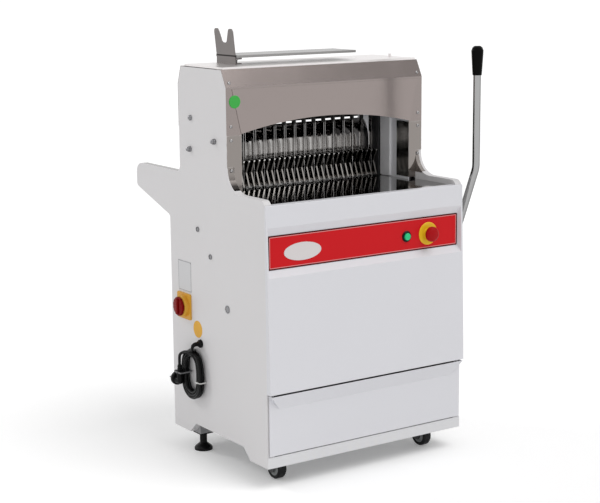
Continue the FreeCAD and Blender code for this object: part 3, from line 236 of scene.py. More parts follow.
rubbed = calc(edgeWearAndPaintedLightGroup, "MULTIPLY", patchy, wearIn["Amount"], clamp=True)
feed(edgeWearAndPaintedLightGroup, wearOut["Color"], mixed(edgeWearAndPaintedLightGroup, rubbed, wearIn["Color"], wearIn["Worn Color"]))

# a little flour and dust lying on what faces up
dustGroup, dustIn, dustOut = newGroup(
    "settledDust",
    [("Vector", "Vector", None), ("Color", "Color", grey(0.5)), ("Dust Color", "Color", (0.6, 0.56, 0.5, 1)),
     ("Amount", "Float", 0.2)],
    [("Color", "Color")])
upward = dustGroup.nodes.new("ShaderNodeNewGeometry")
level = vectorMath(dustGroup, "DOT_PRODUCT", upward.outputs["Normal"], (0, 0, 1))
specks = noise(dustGroup, dustIn["Vector"], scale=70.0, detail=6, roughness=0.75)
settled = calc(dustGroup, "MULTIPLY", between(dustGroup, level, low=0.3, high=0.95),
               between(dustGroup, specks, low=0.35, high=0.7))
lying = calc(dustGroup, "MULTIPLY", settled, dustIn["Amount"], clamp=True)
feed(dustGroup, dustOut["Color"], mixed(dustGroup, lying, dustIn["Color"], dustIn["Dust Color"]))
print("shader groups made")


def place(tree, group, **values):
    node = tree.nodes.new("ShaderNodeGroup")
    node.node_tree = group
    for label, value in values.items():
        feed(tree, node.inputs[label.replace("_", " ")], value)
    return node.outputs


def startMaterial(name):
    material = bpy.data.materials.new(name)
    material.use_nodes = True
    tree = material.node_tree
    return material, tree, tree.nodes.new("ShaderNodeTexCoord").outputs["Object"]


def axesOf(tree, where):
    node = tree.nodes.new("ShaderNodeSeparateXYZ")
    feed(tree, node.inputs[0], where)
    return node.outputs


def metres(millimetres):
    return [value / 1000 for value in millimetres]


def stepAt(tree, value, place, soft=0.0001):
    # 0 below a place and 1 above it
    return between(tree, value, place - soft, place + soft)


def band(tree, value, low, high, soft):
    # 1 from low to high, 0 elsewhere
    return calc(tree, "MULTIPLY", stepAt(tree, value, low, soft),
                between(tree, value, high - soft, high + soft, 1.0, 0.0))


def rimDistance(tree, where, labels, centre, half, operation, *softness):
    # millimetres inwards from the nearest edge of an upright rectangle
    axes = axesOf(tree, where)
    insets = []
    for label, reach in zip(labels, metres(half)):
        away = calc(tree, "ABSOLUTE", calc(tree, "SUBTRACT", axes[label], getattr(centre, label.lower())))
        insets.append(calc(tree, "SUBTRACT", reach, away))
    return calc(tree, "MULTIPLY", calc(tree, operation, *insets, *softness), 1000.0)


def lay(tree, where, group, relief, depth=0.0002, wear=0.0, worn=None, dust=0.0, metallic=1.0, shine=0.5,
        **values):
    # feeds the shader from a skin or a grain, with rubbed corners (in some finishes a painted edge highlight or
    # painted dark rim) and dust over it
    shader = tree.nodes["Principled BSDF"]
    base = place(tree, group, Vector=where, **values)
    shown = base["Color"]
    if wear:
        shown = place(tree, edgeWearAndPaintedLightGroup, Vector=where, Color=shown, Worn_Color=worn, Amount=wear)["Color"]
    if dust:
        shown = place(tree, dustGroup, Vector=where, Color=shown, Amount=dust)["Color"]
    feed(tree, shader.inputs["Base Color"], shown)
    feed(tree, shader.inputs["Roughness"], base["Roughness"])
    feed(tree, shader.inputs["Metallic"], metallic)
    shader.inputs["Specular IOR Level"].default_value = shine
    bump = tree.nodes.new("ShaderNodeBump")
    bump.inputs["Strength"].default_value = relief
    bump.inputs["Distance"].default_value = depth
    feed(tree, bump.inputs["Height"], base["Height"])
    tree.links.new(bump.outputs["Normal"], shader.inputs["Normal"])


def skinFinish(name, color, roughness=0.4, spread=0.08, tone=0.05, grain=700.0, peel=0.12, wear=0.0,
               worn=(0, 0, 0), dust=0.0, metallic=0.0, shine=0.5):
    # paint, enamel, rubber and moulded plastic
    material, tree, where = startMaterial(name)
    lay(tree, where, skinGroup, peel, wear=wear, worn=(*worn, 1), dust=dust, metallic=metallic, shine=shine,
        Color=(*color, 1), Tone=tone, Grain_Scale=grain, Roughness=roughness, Spread=spread)
    return material


def steelFinish(name, color, roughness=0.2, spread=0.12, contrast=0.12, stretch=(1, 60, 60), relief=0.05,
                wear=0.0, worn=(0, 0, 0), dust=0.0):
    # ground, brushed or polished metal
    material, tree, where = startMaterial(name)
    lay(tree, where, grainGroup, relief, wear=wear, worn=(*worn, 1), dust=dust, Color=(*color, 1),
        Stretch=stretch, Contrast=contrast, Roughness=roughness, Spread=spread)
    return material


# materials of the machine
cabinetPaint = skinFinish("cabinetPaint", (0.76, 0.76, 0.775), roughness=0.42, spread=0.1, tone=0.03,
                          grain=900.0, peel=0.10, wear=0.35, worn=(0.62, 0.62, 0.64), shine=0.3)
# the cover's pale worn colour paints a highlight along its edges
coverPaint = skinFinish("coverPaint", (0.76, 0.76, 0.795), roughness=0.36, spread=0.1, tone=0.03, grain=900.0,
                        peel=0.08, wear=0.25, worn=(0.9, 0.9, 0.92), shine=0.35)
framePaint = skinFinish("framePaint", (0.34, 0.34, 0.35), roughness=0.5, spread=0.12, tone=0.08, grain=600.0,
                        peel=0.18, wear=0.5, worn=(0.22, 0.22, 0.23), dust=0.15, shine=0.25)
hoodSteel = steelFinish("hoodSteel", (0.20, 0.175, 0.168), roughness=0.2, spread=0.12, contrast=0.12,
                        stretch=(1, 70, 70), relief=0.05, wear=0.5, worn=(0.5, 0.48, 0.46))
faceSteel = steelFinish("faceSteel", (0.305, 0.264, 0.252), roughness=0.2, spread=0.12, contrast=0.10,
                        stretch=(1, 70, 70), relief=0.05, wear=0.3, worn=(0.45, 0.43, 0.42))
tableSteel = steelFinish("tableSteel", (0.40, 0.40, 0.395), roughness=0.07, spread=0.08, contrast=0.08,
                         stretch=(70, 1, 70), relief=0.03)
pusherSteel = steelFinish("pusherSteel", (0.42, 0.41, 0.40), roughness=0.10, spread=0.08, contrast=0.08,
                          stretch=(1, 70, 70), relief=0.03)
innerEnamel = skinFinish("innerEnamel", (0.9, 0.895, 0.93), roughness=0.3, spread=0.12, tone=0.04,
                         grain=500.0, peel=0.08, wear=0.4, worn=(0.25, 0.25, 0.27), shine=0.6)
lidSteel = steelFinish("lidSteel", (0.78, 0.75, 0.745), roughness=0.3, spread=0.12, contrast=0.14,
                       stretch=(1, 60, 60), relief=0.08, wear=0.5, worn=(0.4, 0.39, 0.38), dust=0.1)
traySteel = steelFinish("traySteel", (0.29, 0.285, 0.28), roughness=0.3, spread=0.12, contrast=0.16,
                        stretch=(1, 60, 60), relief=0.08, wear=0.7, worn=(0.28, 0.27, 0.27))
zincSteel = steelFinish("zincSteel", (0.40, 0.41, 0.42), roughness=0.34, spread=0.15, contrast=0.25,
                        stretch=(6, 6, 6), relief=0.1, dust=0.25)
darkZinc = steelFinish("darkZinc", (0.085, 0.085, 0.088), roughness=0.36, spread=0.15, contrast=0.25,
                       stretch=(6, 6, 6), relief=0.1, dust=0.1)
groundSteel = steelFinish("groundSteel", (0.42, 0.42, 0.43), roughness=0.22, spread=0.12, contrast=0.15,
                          stretch=(60, 1, 60), relief=0.06)
screwSteel = steelFinish("screwSteel", (0.34, 0.33, 0.33), roughness=0.22, spread=0.1, contrast=0.2,
                         stretch=(20, 20, 20), relief=0.06, wear=0.6, worn=(0.8, 0.8, 0.8))
castIron = skinFinish("castIron", (0.10, 0.10, 0.105), roughness=0.55, spread=0.15, tone=0.25, grain=260.0,
                      peel=0.5, wear=0.6, worn=(0.35, 0.34, 0.33), dust=0.25, metallic=0.6)
darkCoat = skinFinish("darkCoat", (0.03, 0.03, 0.033), roughness=0.45, spread=0.15, tone=0.2, grain=500.0,
                      peel=0.25, wear=0.5, worn=(0.2, 0.2, 0.2), dust=0.1, shine=0.2)
motorEnamel = skinFinish("motorEnamel", (0.12, 0.2, 0.3), roughness=0.4, spread=0.15, tone=0.15, grain=400.0,
                         peel=0.3, wear=0.5, worn=(0.35, 0.36, 0.38), dust=0.35)
blackPlastic = skinFinish("blackPlastic", (0.006, 0.006, 0.0065), roughness=0.32, spread=0.12, tone=0.2,
                          grain=1100.0, peel=0.18, wear=0.4, worn=(0.03, 0.03, 0.033), shine=0.14)
cordBlack = skinFinish("cordBlack", (0.003, 0.003, 0.0032), roughness=0.22, spread=0.1, tone=0.2,
                       grain=1300.0, peel=0.05, shine=0.14)
gripBlack = skinFinish("gripBlack", (0.003, 0.0028, 0.0028), roughness=0.34, spread=0.12, tone=0.2,
                       grain=1100.0, peel=0.18, shine=0.05)
blackRubber = skinFinish("blackRubber", (0.011, 0.011, 0.012), roughness=0.6, spread=0.15, tone=0.25,
                         grain=900.0, peel=0.35, wear=0.4, worn=(0.05, 0.05, 0.05), dust=0.15, shine=0.15)
beltRubber = skinFinish("beltRubber", (0.02, 0.018, 0.018), roughness=0.7, spread=0.15, tone=0.3, grain=700.0,
                        peel=0.4, wear=0.5, worn=(0.09, 0.08, 0.08), shine=0.2)
whiteNylon = skinFinish("whiteNylon", (0.74, 0.74, 0.72), roughness=0.35, spread=0.1, tone=0.08, grain=500.0,
                        peel=0.08, shine=0.35)
tieGrey = skinFinish("tieGrey", (0.16, 0.16, 0.165), roughness=0.3, spread=0.1, tone=0.1, grain=900.0,
                     peel=0.05, shine=0.4)
stripNylon = skinFinish("stripNylon", (0.97, 0.965, 0.985), roughness=0.3, spread=0.1, tone=0.03, grain=500.0,
                        peel=0.06, shine=0.6)
stopRed = skinFinish("stopRed", (0.42, 0.006, 0.009), roughness=0.3, spread=0.08, tone=0.08, grain=900.0,
                     peel=0.04, shine=0.09)
stopYellow = skinFinish("stopYellow", (0.88, 0.56, 0.02), roughness=0.32, spread=0.1, tone=0.06, grain=900.0,
                        peel=0.05, shine=0.25)
isolatorYellow = skinFinish("isolatorYellow", (0.76, 0.40, 0.045), roughness=0.36, spread=0.1, tone=0.08,
                            grain=900.0, peel=0.05, wear=0.6, worn=(0.30, 0.14, 0.02), shine=0.2)
knobRed = skinFinish("knobRed", (0.22, 0.003, 0.003), roughness=0.3, spread=0.08, tone=0.08, grain=900.0,
                     peel=0.04, wear=0.5, worn=(0.08, 0.002, 0.002), shine=0.06)
startGreen = skinFinish("startGreen", (0.012, 0.60, 0.235), roughness=0.2, spread=0.08, tone=0.06,
                        grain=900.0, peel=0.04, shine=0.35)
stickerGreen = skinFinish("stickerGreen", (0.055, 0.45, 0.075), roughness=0.4, spread=0.08, tone=0.08,
                          grain=900.0, peel=0.03, shine=0.25)
stickerAmber = skinFinish("stickerAmber", (0.80, 0.42, 0.03), roughness=0.4, spread=0.08, tone=0.08,
                          grain=900.0, peel=0.03, shine=0.25)
badgePale = skinFinish("badgePale", (0.74, 0.70, 0.70), roughness=0.3, spread=0.08, tone=0.05, grain=900.0,
                       peel=0.03, wear=0.9, worn=(0.20, 0.02, 0.03), shine=0.3)
# the near-black worn colour paints a dark rim of shade along the edges of the nuts and heads
capSteel = steelFinish("capSteel", (0.24, 0.24, 0.25), roughness=0.16, spread=0.1, contrast=0.25,
                       stretch=(20, 20, 20), relief=0.08, wear=1.0, worn=(0.02, 0.02, 0.02))

# the red foil of the control strip: a thin pale line and a thin dark line follow its edge
stripSettings = {"centre": (0, 606), "half": (299, 43), "corner": 4, "paleLine": (3.9, 5.4),
                 "darkLine": 3.2, "blur": 0.3, "red": (0.64, 0.009, 0.014, 1), "pale": (0.70, 0.34, 0.34, 1),
                 "dark": (0.05, 0.0, 0.0, 1)}
stripFoil, tree, where = startMaterial("stripFoil")
middleX, middleZ = stripSettings["centre"]
inset = rimDistance(tree, where, "XZ", at(middleX, 0, middleZ), stripSettings["half"], "SMOOTH_MIN",
                    stripSettings["corner"] / 1000)
foil = mixed(tree, band(tree, inset, *stripSettings["paleLine"], stripSettings["blur"]), stripSettings["red"],
             stripSettings["pale"])
foil = mixed(tree, stepAt(tree, inset, stripSettings["darkLine"], stripSettings["blur"]), stripSettings["dark"],
             foil)
lay(tree, where, skinGroup, relief=0.04, depth=0.0001, metallic=0.0, shine=0.12, Color=foil, Tone=0.05,
    Grain_Scale=1200.0, Roughness=0.34, Spread=0.08)

# side panels: sprayed white, with the posts' ground steel carried down over the return by the opening; on the
# left panel that steel is darkened below a height as painted shade
sideSettings = {"steelX": (-307.9, 302), "steelFront": -95, "steelLow": 742, "paint": (0.765, 0.752, 0.76, 1),
                "steel": (0.27, 0.245, 0.23, 1), "paintedShade": (0.045, 0.04, 0.038, 1), "paintedShadeHeights": (757, 785),
                "worn": (0.93, 0.93, 0.94, 1), "gloss": (0.42, 0.16)}
panelPaint, tree, where = startMaterial("panelPaint")
axes = axesOf(tree, where)
low = at(sideSettings["steelX"][0], sideSettings["steelFront"], sideSettings["steelLow"])
high = at(sideSettings["steelX"][1], 0, 0)
within = calc(tree, "MULTIPLY", calc(tree, "GREATER_THAN", axes["X"], low.x),
              calc(tree, "LESS_THAN", axes["X"], high.x))
raised = calc(tree, "MULTIPLY", calc(tree, "GREATER_THAN", axes["Y"], low.y),
              calc(tree, "GREATER_THAN", axes["Z"], low.z))
steelMask = calc(tree, "MULTIPLY", within, raised)
rightSide = calc(tree, "GREATER_THAN", axes["X"], 0.0)
# painted shade: below these heights the left panel's steel turns near-black, the right panel keeps its steel
bright = calc(tree, "MAXIMUM", between(tree, axes["Z"], *metres(sideSettings["paintedShadeHeights"])), rightSide)
steel = mixed(tree, bright, sideSettings["paintedShade"], sideSettings["steel"])
# the pale worn colour paints a highlight along the panels' edges
lay(tree, where, skinGroup, relief=0.1, wear=0.6, worn=mixed(tree, steelMask, sideSettings["worn"], steel),
    metallic=steelMask, shine=0.3, Color=mixed(tree, steelMask, sideSettings["paint"], steel), Tone=0.03,
    Grain_Scale=900.0, Roughness=between(tree, steelMask, 0.0, 1.0, *sideSettings["gloss"]), Spread=0.1)

# the pusher's fingers: bright below the knee, darker above it as painted shade, and a painted highlight at the
# tips
fingerSettings = {"knee": (762, 766), "tip": (792.5, 794), "low": (0.34, 0.322, 0.305, 1),
                  "high": (0.075, 0.07, 0.066, 1), "paintedTipHighlight": (0.55, 0.54, 0.53, 1)}
fingerSteel, tree, where = startMaterial("fingerSteel")
height = axesOf(tree, where)["Z"]
tones = mixed(tree, between(tree, height, *metres(fingerSettings["knee"])), fingerSettings["low"],
              fingerSettings["high"])
tones = mixed(tree, between(tree, height, *metres(fingerSettings["tip"])), tones, fingerSettings["paintedTipHighlight"])
lay(tree, where, grainGroup, relief=0.05, Color=tones, Stretch=(70, 1, 70), Contrast=0.15, Roughness=0.18,
    Spread=0.1)

# the blades: mirror-bright where they cut; from the arch upwards rougher, and darker as painted shade under the
# hood
bladeSettings = {"paintedArchShade": (878, 884), "gloss": (0.06, 0.4), "bright": (0.5, 0.49, 0.485, 1),
                 "dark": (0.06, 0.058, 0.056, 1)}
bladeSteel, tree, where = startMaterial("bladeSteel")
paintedArchShade = between(tree, axesOf(tree, where)["Z"], *metres(bladeSettings["paintedArchShade"]))
lay(tree, where, grainGroup, relief=0.02,
    Color=mixed(tree, paintedArchShade, bladeSettings["bright"], bladeSettings["dark"]), Stretch=(60, 60, 1),
    Contrast=0.15, Roughness=between(tree, paintedArchShade, 0.0, 1.0, *bladeSettings["gloss"]), Spread=0.05)

# the lever's tube: bright plating with a painted reflection that turns dark towards its outline, by how far the
# surface faces away from the view
tubeSettings = {"middle": (0.38, 0.38, 0.38, 1), "outline": (0.045, 0.045, 0.047, 1), "turn": (0.22, 0.72)}
chromeSteel, tree, where = startMaterial("chromeSteel")
weight = tree.nodes.new("ShaderNodeLayerWeight")
weight.inputs["Blend"].default_value = 0.5
paintedRimMask = between(tree, weight.outputs["Facing"], *tubeSettings["turn"])
lay(tree, where, grainGroup, relief=0.02,
    Color=mixed(tree, paintedRimMask, tubeSettings["middle"], tubeSettings["outline"]), Stretch=(12, 12, 1),
    Contrast=0.08, Roughness=0.12, Spread=0.06)

# the hood's front sheet: the sloping brow above its fold is painted darker than the flat part below, as painted
# shade
browSettings = {"fold": 1001, "flat": (0.29, 0.252, 0.24, 1), "brow": (0.182, 0.157, 0.15, 1),
                "worn": (0.45, 0.43, 0.42, 1)}
browSteel, tree, where = startMaterial("browSteel")
# mask of the painted shade on the brow
above = stepAt(tree, axesOf(tree, where)["Z"], browSettings["fold"] / 1000, soft=0.0004)
lay(tree, where, grainGroup, relief=0.05, wear=0.4, worn=browSettings["worn"],
    Color=mixed(tree, above, browSettings["flat"], browSettings["brow"]), Stretch=(1, 70, 70), Contrast=0.11,
    Roughness=0.2, Spread=0.12)

# the bag fork: grey sheet, with painted shade in a dark band along the fold where it starts to lean
forkSettings = {"fold": (1069.4, 1073.2), "sheet": (0.19, 0.175, 0.17, 1), "paintedFoldShade": (0.012, 0.009, 0.008, 1),
                "worn": (0.08, 0.07, 0.07, 1)}
holderSteel, tree, where = startMaterial("holderSteel")
paintedFoldShade = band(tree, axesOf(tree, where)["Z"], *metres(forkSettings["fold"]), soft=0.0005)
lay(tree, where, grainGroup, relief=0.08, wear=0.8, worn=forkSettings["worn"],
    Color=mixed(tree, paintedFoldShade, forkSettings["sheet"], forkSettings["paintedFoldShade"]), Stretch=(60, 1, 60), Contrast=0.16,
    Roughness=0.3, Spread=0.12)

# the posts beside the opening: ground face in front, dark mirror lining behind it; the pale worn colour paints
# a highlight along the edges
postSettings = {"faceBack": -63.4, "face": (0.27, 0.245, 0.23, 1), "lining": (0.26, 0.25, 0.24, 1),
                "worn": (0.8, 0.79, 0.78, 1)}
postSteel, tree, where = startMaterial("postSteel")
behind = stepAt(tree, axesOf(tree, where)["Y"], at(0, postSettings["faceBack"], 0).y)
lay(tree, where, grainGroup, relief=0.03, wear=0.9, worn=postSettings["worn"],
    Color=mixed(tree, behind, postSettings["face"], postSettings["lining"]), Stretch=(70, 70, 1), Contrast=0.1,
    Roughness=0.14, Spread=0.1)

# caster wheels: black tread round a grey moulded hub
wheelSettings = {"axle": (0, -164, 30), "hubRadius": (20.6, 21.2), "tread": (0.005, 0.005, 0.0055, 1),
                 "hub": (0.30, 0.31, 0.31, 1)}
wheelRubber, tree, where = startMaterial("wheelRubber")
fromAxle = vectorMath(tree, "SUBTRACT", where, at(*wheelSettings["axle"]))
fromAxle = vectorMath(tree, "MULTIPLY", fromAxle, (0, 1, 1))
outside = between(tree, vectorMath(tree, "LENGTH", fromAxle), *metres(wheelSettings["hubRadius"]))
lay(tree, where, skinGroup, relief=0.25, metallic=0.0, shine=0.2,
    Color=mixed(tree, outside, wheelSettings["hub"], wheelSettings["tread"]), Tone=0.2, Grain_Scale=800.0,
    Roughness=0.5, Spread=0.15)

# the plug: black moulding, nickel pins behind its face
plugFinish = {"face": 175.2, "moulding": (0.004, 0.004, 0.0043, 1), "pins": (0.32, 0.31, 0.29, 1)}
plugBlack, tree, where = startMaterial("plugBlack")
bare = stepAt(tree, axesOf(tree, where)["Y"], at(0, plugFinish["face"], 0).y)
lay(tree, where, skinGroup, relief=0.15, metallic=bare, shine=0.12,
    Color=mixed(tree, bare, plugFinish["moulding"], plugFinish["pins"]), Tone=0.15, Grain_Scale=1000.0,
    Roughness=0.34, Spread=0.12)

nodeFinishes = {
    "left_side_panel": panelPaint, "right_side_panel": panelPaint, "base_rail": cabinetPaint,
    "rear_panel": cabinetPaint, "front_cover": coverPaint, "drawer_front": coverPaint,
    "base_frame": framePaint, "left_cheek": innerEnamel, "right_cheek": innerEnamel,
    "front_table": tableSteel, "infeed_table": tableSteel, "infeed_crossbar": darkZinc,
    "guide_rods": groundSteel, "guide_strips": stripNylon, "hood_front": browSteel,
    "hood_face": faceSteel, "hood_posts": postSteel, "rear_hood": hoodSteel, "top_lid": lidSteel,
    "control_strip": stripFoil, "start_bezel": blackPlastic, "start_button": startGreen,
    "estop_collar": stopYellow, "estop_head": stopRed, "drawer_tray": zincSteel,
    "drawer_runners": zincSteel, "blade_frame_front": darkCoat, "blade_frame_rear": darkCoat,
    "blades_front": bladeSteel, "blades_rear": bladeSteel, "crank_beams": framePaint,
    "crank_bearings": castIron, "crankshaft": groundSteel, "crank_pulley": castIron,
    "motor_pulley": castIron, "drive_belt": beltRubber, "motor": motorEnamel, "motor_deck": framePaint,
    "pusher_comb": fingerSteel, "pusher_plate": pusherSteel, "pusher_carriage": darkZinc,
    "lever_shaft": groundSteel, "lever_tube": chromeSteel, "lever_grip": gripBlack,
    "lever_bushes": whiteNylon, "caster_forks": darkZinc, "caster_wheel_left": wheelRubber,
    "caster_wheel_right": wheelRubber, "leveling_feet": blackPlastic, "isolator_plate": isolatorYellow,
    "isolator_knob": knobRed, "cable_gland": blackPlastic, "cord_lead": cordBlack,
    "cord_coil": cordBlack, "cord_tail": cordBlack, "cord_plug": plugBlack,
    "bag_fork": holderSteel, "bag_tray": traySteel, "hood_screws": screwSteel,
    "panel_fasteners": capSteel,
}
for name, material in nodeFinishes.items():
    data = nodes[name].data
    data.materials.clear()
    data.materials.append(material)
print("finishes given to", len(nodeFinishes), "nodes")

# angled plug: a round face with two pins behind it, a short arm and a ribbed neck the cord enters from above
plugSettings = {"face": (-337, 163, 208), "arm": (-341.5, 139.5, 205), "neck": (-342, 147, 203),
                "faceProfile": [(0, 0), (0, 15.6), (0.7, 17.4), (2.2, 18.6), (3.4, 18.9), (9.4, 18.9),
                                (10.6, 18.5), (11.6, 17.5), (12, 16.2), (12, 0)],
                "armProfile": [(0, 0), (0.2, 3.2), (1.2, 6), (3.2, 7.8), (5.8, 8.6), (20, 9), (24.4, 10.2),
                               (24.4, 0)],
                "neckStart": [(0, 0), (0, 7.9), (20, 7.7)], "neckEnd": [(45.5, 5.4), (47, 4.5), (47, 0)],
                "ribs": (30, 34.5, 39), "ribDepth": 0.9, "neckTaper": 0.075,
                "pinOffset": 9.5, "pinRadius": 2.4, "pinStart": 174.5, "pinEnd": 193}
mesh = bmesh.new()
spun(mesh, plugSettings["faceProfile"], (0, 1, 0), plugSettings["face"], steps=64)
spun(mesh, plugSettings["armProfile"], (0, 1, 0), plugSettings["arm"], steps=48)
neck = list(plugSettings["neckStart"])
smoothLength, smoothRadius = neck[-1]
for height in plugSettings["ribs"]:
    wide = smoothRadius - (height - smoothLength) * plugSettings["neckTaper"]
    groove = wide - plugSettings["ribDepth"]
    neck += [(height - 1.6, wide), (height - 1.1, groove), (height + 0.4, groove), (height + 0.9, wide - 0.1)]
spun(mesh, neck + plugSettings["neckEnd"], (0, 0, 1), plugSettings["neck"], steps=48)
faceX, faceZ = plugSettings["face"][0], plugSettings["face"][2]
pin = plugSettings["pinEnd"] - plugSettings["pinStart"]
radius = plugSettings["pinRadius"]
for offset in (-plugSettings["pinOffset"], plugSettings["pinOffset"]):
    spun(mesh, [(0, 0), (0, radius), (pin - 1.6, radius), (pin - 0.6, radius * 0.8), (pin, radius * 0.35),
                (pin, 0)], (0, 1, 0), (faceX + offset, plugSettings["pinStart"], faceZ), steps=24)
cordPlug = smooth(newPiece("cordPlug", mesh, plugBlack))
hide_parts("cord_plug")

# power cord: out of the gland, three turns inwards beside the panel, three outwards on top, then to the plug
cordSettings = {"radius": 4, "centre": (110, 230), "straight": 18, "layers": (-318.5, -327.5),
                "outerTurn": 48, "turnStep": 8, "turnsEachLayer": 3, "pointsPerTurn": 14, "startAngle": 98,
                "endAngle": 128, "length": 2.0, "sleeveLength": 0.024, "sleeveRadius": (6.4, 4.7),
                "lead": [(-317, 85, 316), (-333, 84, 318), (-338, 86, 306), (-332, 92, 297), (-322, 99, 295.5)],
                "tail": [(-334, 96, 292), (-337, 108, 293), (-338, 126, 290), (-342, 145, 280),
                         (-342, 147, 266), (-342, 147, 247)]}
cordPoints = list(cordSettings["lead"])
lowerLayer, upperLayer = cordSettings["layers"]
layerTurns = cordSettings["turnsEachLayer"]
turns = 2 * layerTurns
sweep = 360 * turns - (cordSettings["endAngle"] - cordSettings["startAngle"])
count = round(sweep / 360 * cordSettings["pointsPerTurn"])
for index in range(count + 1):
    share = index / count
    turn = share * turns
    angle = math.radians(cordSettings["startAngle"] - sweep * share)
    inward = min(turn, turns - turn) - 0.5
    radius = cordSettings["outerTurn"] - cordSettings["turnStep"] * max(0, min(inward, layerTurns - 1))
    side = max(0, min(1, (turn - layerTurns) * 2 + 0.5))  # moves over to the second layer within half a turn
    x = lowerLayer + (upperLayer - lowerLayer) * side
    rise = cordSettings["straight"] * max(-1, min(1, 2.5 * math.sin(angle)))  # draws the round coil out tall
    cordPoints.append((x, cordSettings["centre"][0] + radius * math.cos(angle),
                       cordSettings["centre"][1] + radius * math.sin(angle) + rise))
cordPoints += cordSettings["tail"]
cordCurve = bpy.data.curves.new("powerCord", "CURVE")
cordCurve.dimensions = "3D"
cordCurve.resolution_u = 6
spline = cordCurve.splines.new("NURBS")
spline.points.add(len(cordPoints) - 1)
for point, where in zip(spline.points, cordPoints):
    point.co = (*at(*where), 1)
spline.order_u = 3
spline.use_endpoint_u = True
cordCurve.materials.append(cordBlack)
powerCord = bpy.data.objects.new("powerCord", cordCurve)
bpy.context.scene.collection.objects.link(powerCord)
route = bpy.data.meshes.new_from_object(powerCord)
routePoints = [vertex.co.copy() for vertex in route.vertices]
cordCurve.bevel_depth = cordSettings["radius"] / 1000
cordCurve.bevel_resolution = 5
cordCurve.use_fill_caps = True
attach(powerCord, "cabinet")
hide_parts("cord_lead", "cord_coil", "cord_tail")

# tapered strain relief over the first centimetres of the cord
sleevePoints = [routePoints[0]]
covered = 0
for before, after in zip(routePoints, routePoints[1:]):
    covered += (after - before).length
    if covered > cordSettings["sleeveLength"]:
        break
    sleevePoints.append(after)
sleeveCurve = bpy.data.curves.new("cordSleeve", "CURVE")
sleeveCurve.dimensions = "3D"
sleeveCurve.bevel_depth = 0.001  # so that a point's radius counts in millimetres
sleeveCurve.bevel_resolution = 6
sleeveCurve.use_fill_caps = True
sleeveLine = sleeveCurve.splines.new("POLY")
sleeveLine.points.add(len(sleevePoints) - 1)
wide, narrow = cordSettings["sleeveRadius"]
for index, (point, where) in enumerate(zip(sleeveLine.points, sleevePoints)):
    point.co = (*where, 1)
    point.radius = wide + (narrow - wide) * index / (len(sleevePoints) - 1)
sleeveCurve.materials.append(cordBlack)
cordSleeve = bpy.data.objects.new("cordSleeve", sleeveCurve)
bpy.context.scene.collection.objects.link(cordSleeve)
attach(cordSleeve, "cabinet")
print("cord laid with", len(cordPoints), "points")

# flat cable ties round the coil: a rounded band between two corners, with a small locking head in front
tieSettings = {
    "frontTie": {"low": (-332.7, 56.9, 214.0), "high": (-313.2, 83.3, 216.6), "material": whiteNylon},
    "rearTie": {"low": (-350.7, 127.0, 229.2), "high": (-313.2, 163.1, 232.8), "material": tieGrey},
}
tieShape = {"round": 4, "thick": 1.1, "head": (4, 4.6, 5), "headOut": 1.2, "headRound": 0.7}
for name, settings in tieSettings.items():
    mesh = bmesh.new()
    low, high = Vector(settings["low"]), Vector(settings["high"])
    middle = (low + high) / 2
    block(mesh, low, high)
    upright = [edge for edge in mesh.edges if abs(edge.verts[0].co.z - edge.verts[1].co.z) > 1]
    bmesh.ops.bevel(mesh, geom=upright, offset=tieShape["round"], affect="EDGES", segments=5, profile=0.5,
                    material=-1)
    bmesh.ops.recalc_face_normals(mesh, faces=mesh.faces)
    ends = [face for face in mesh.faces if abs(face.normal.z) > 0.9]
    bmesh.ops.delete(mesh, geom=ends, context="FACES_ONLY")
    bmesh.ops.solidify(mesh, geom=mesh.faces[:], thickness=-tieShape["thick"])
    headHalf = Vector(tieShape["head"]) / 2
    headPlace = Vector((low.x - tieShape["headOut"], middle.y, middle.z))
    block(mesh, headPlace - headHalf, headPlace + headHalf, tieShape["headRound"])
    newPiece(name, mesh, settings["material"])
print("cable ties made")

# button-head screws of the hood, each with a round socket recess
screwSettings = {"span": 297, "front": -65, "heights": (792, 868, 903), "radius": 4.6, "rise": 2.7,
                 "socket": 2.0, "browSeat": (-59.4, 1011.7), "browNormal": (-0.89, 0.456)}
mesh = bmesh.new()
radius, rise, socket = screwSettings["radius"], screwSettings["rise"], screwSettings["socket"]
screwProfile = [(0, radius), (rise * 0.35, radius * 0.97), (rise * 0.75, radius * 0.8), (rise, radius * 0.5),
                (rise, socket), (rise * 0.35, socket * 0.9), (rise * 0.3, 0)]
for x in (-screwSettings["span"], screwSettings["span"]):
    for height in screwSettings["heights"]:
        spun(mesh, screwProfile, (0, -1, 0), (x, screwSettings["front"], height), steps=24)
    spun(mesh, screwProfile, (0, *screwSettings["browNormal"]), (x, *screwSettings["browSeat"]), steps=24)
hoodScrewHeads = smooth(newPiece("hoodScrewHeads", mesh, screwSteel))
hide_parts("hood_screws")

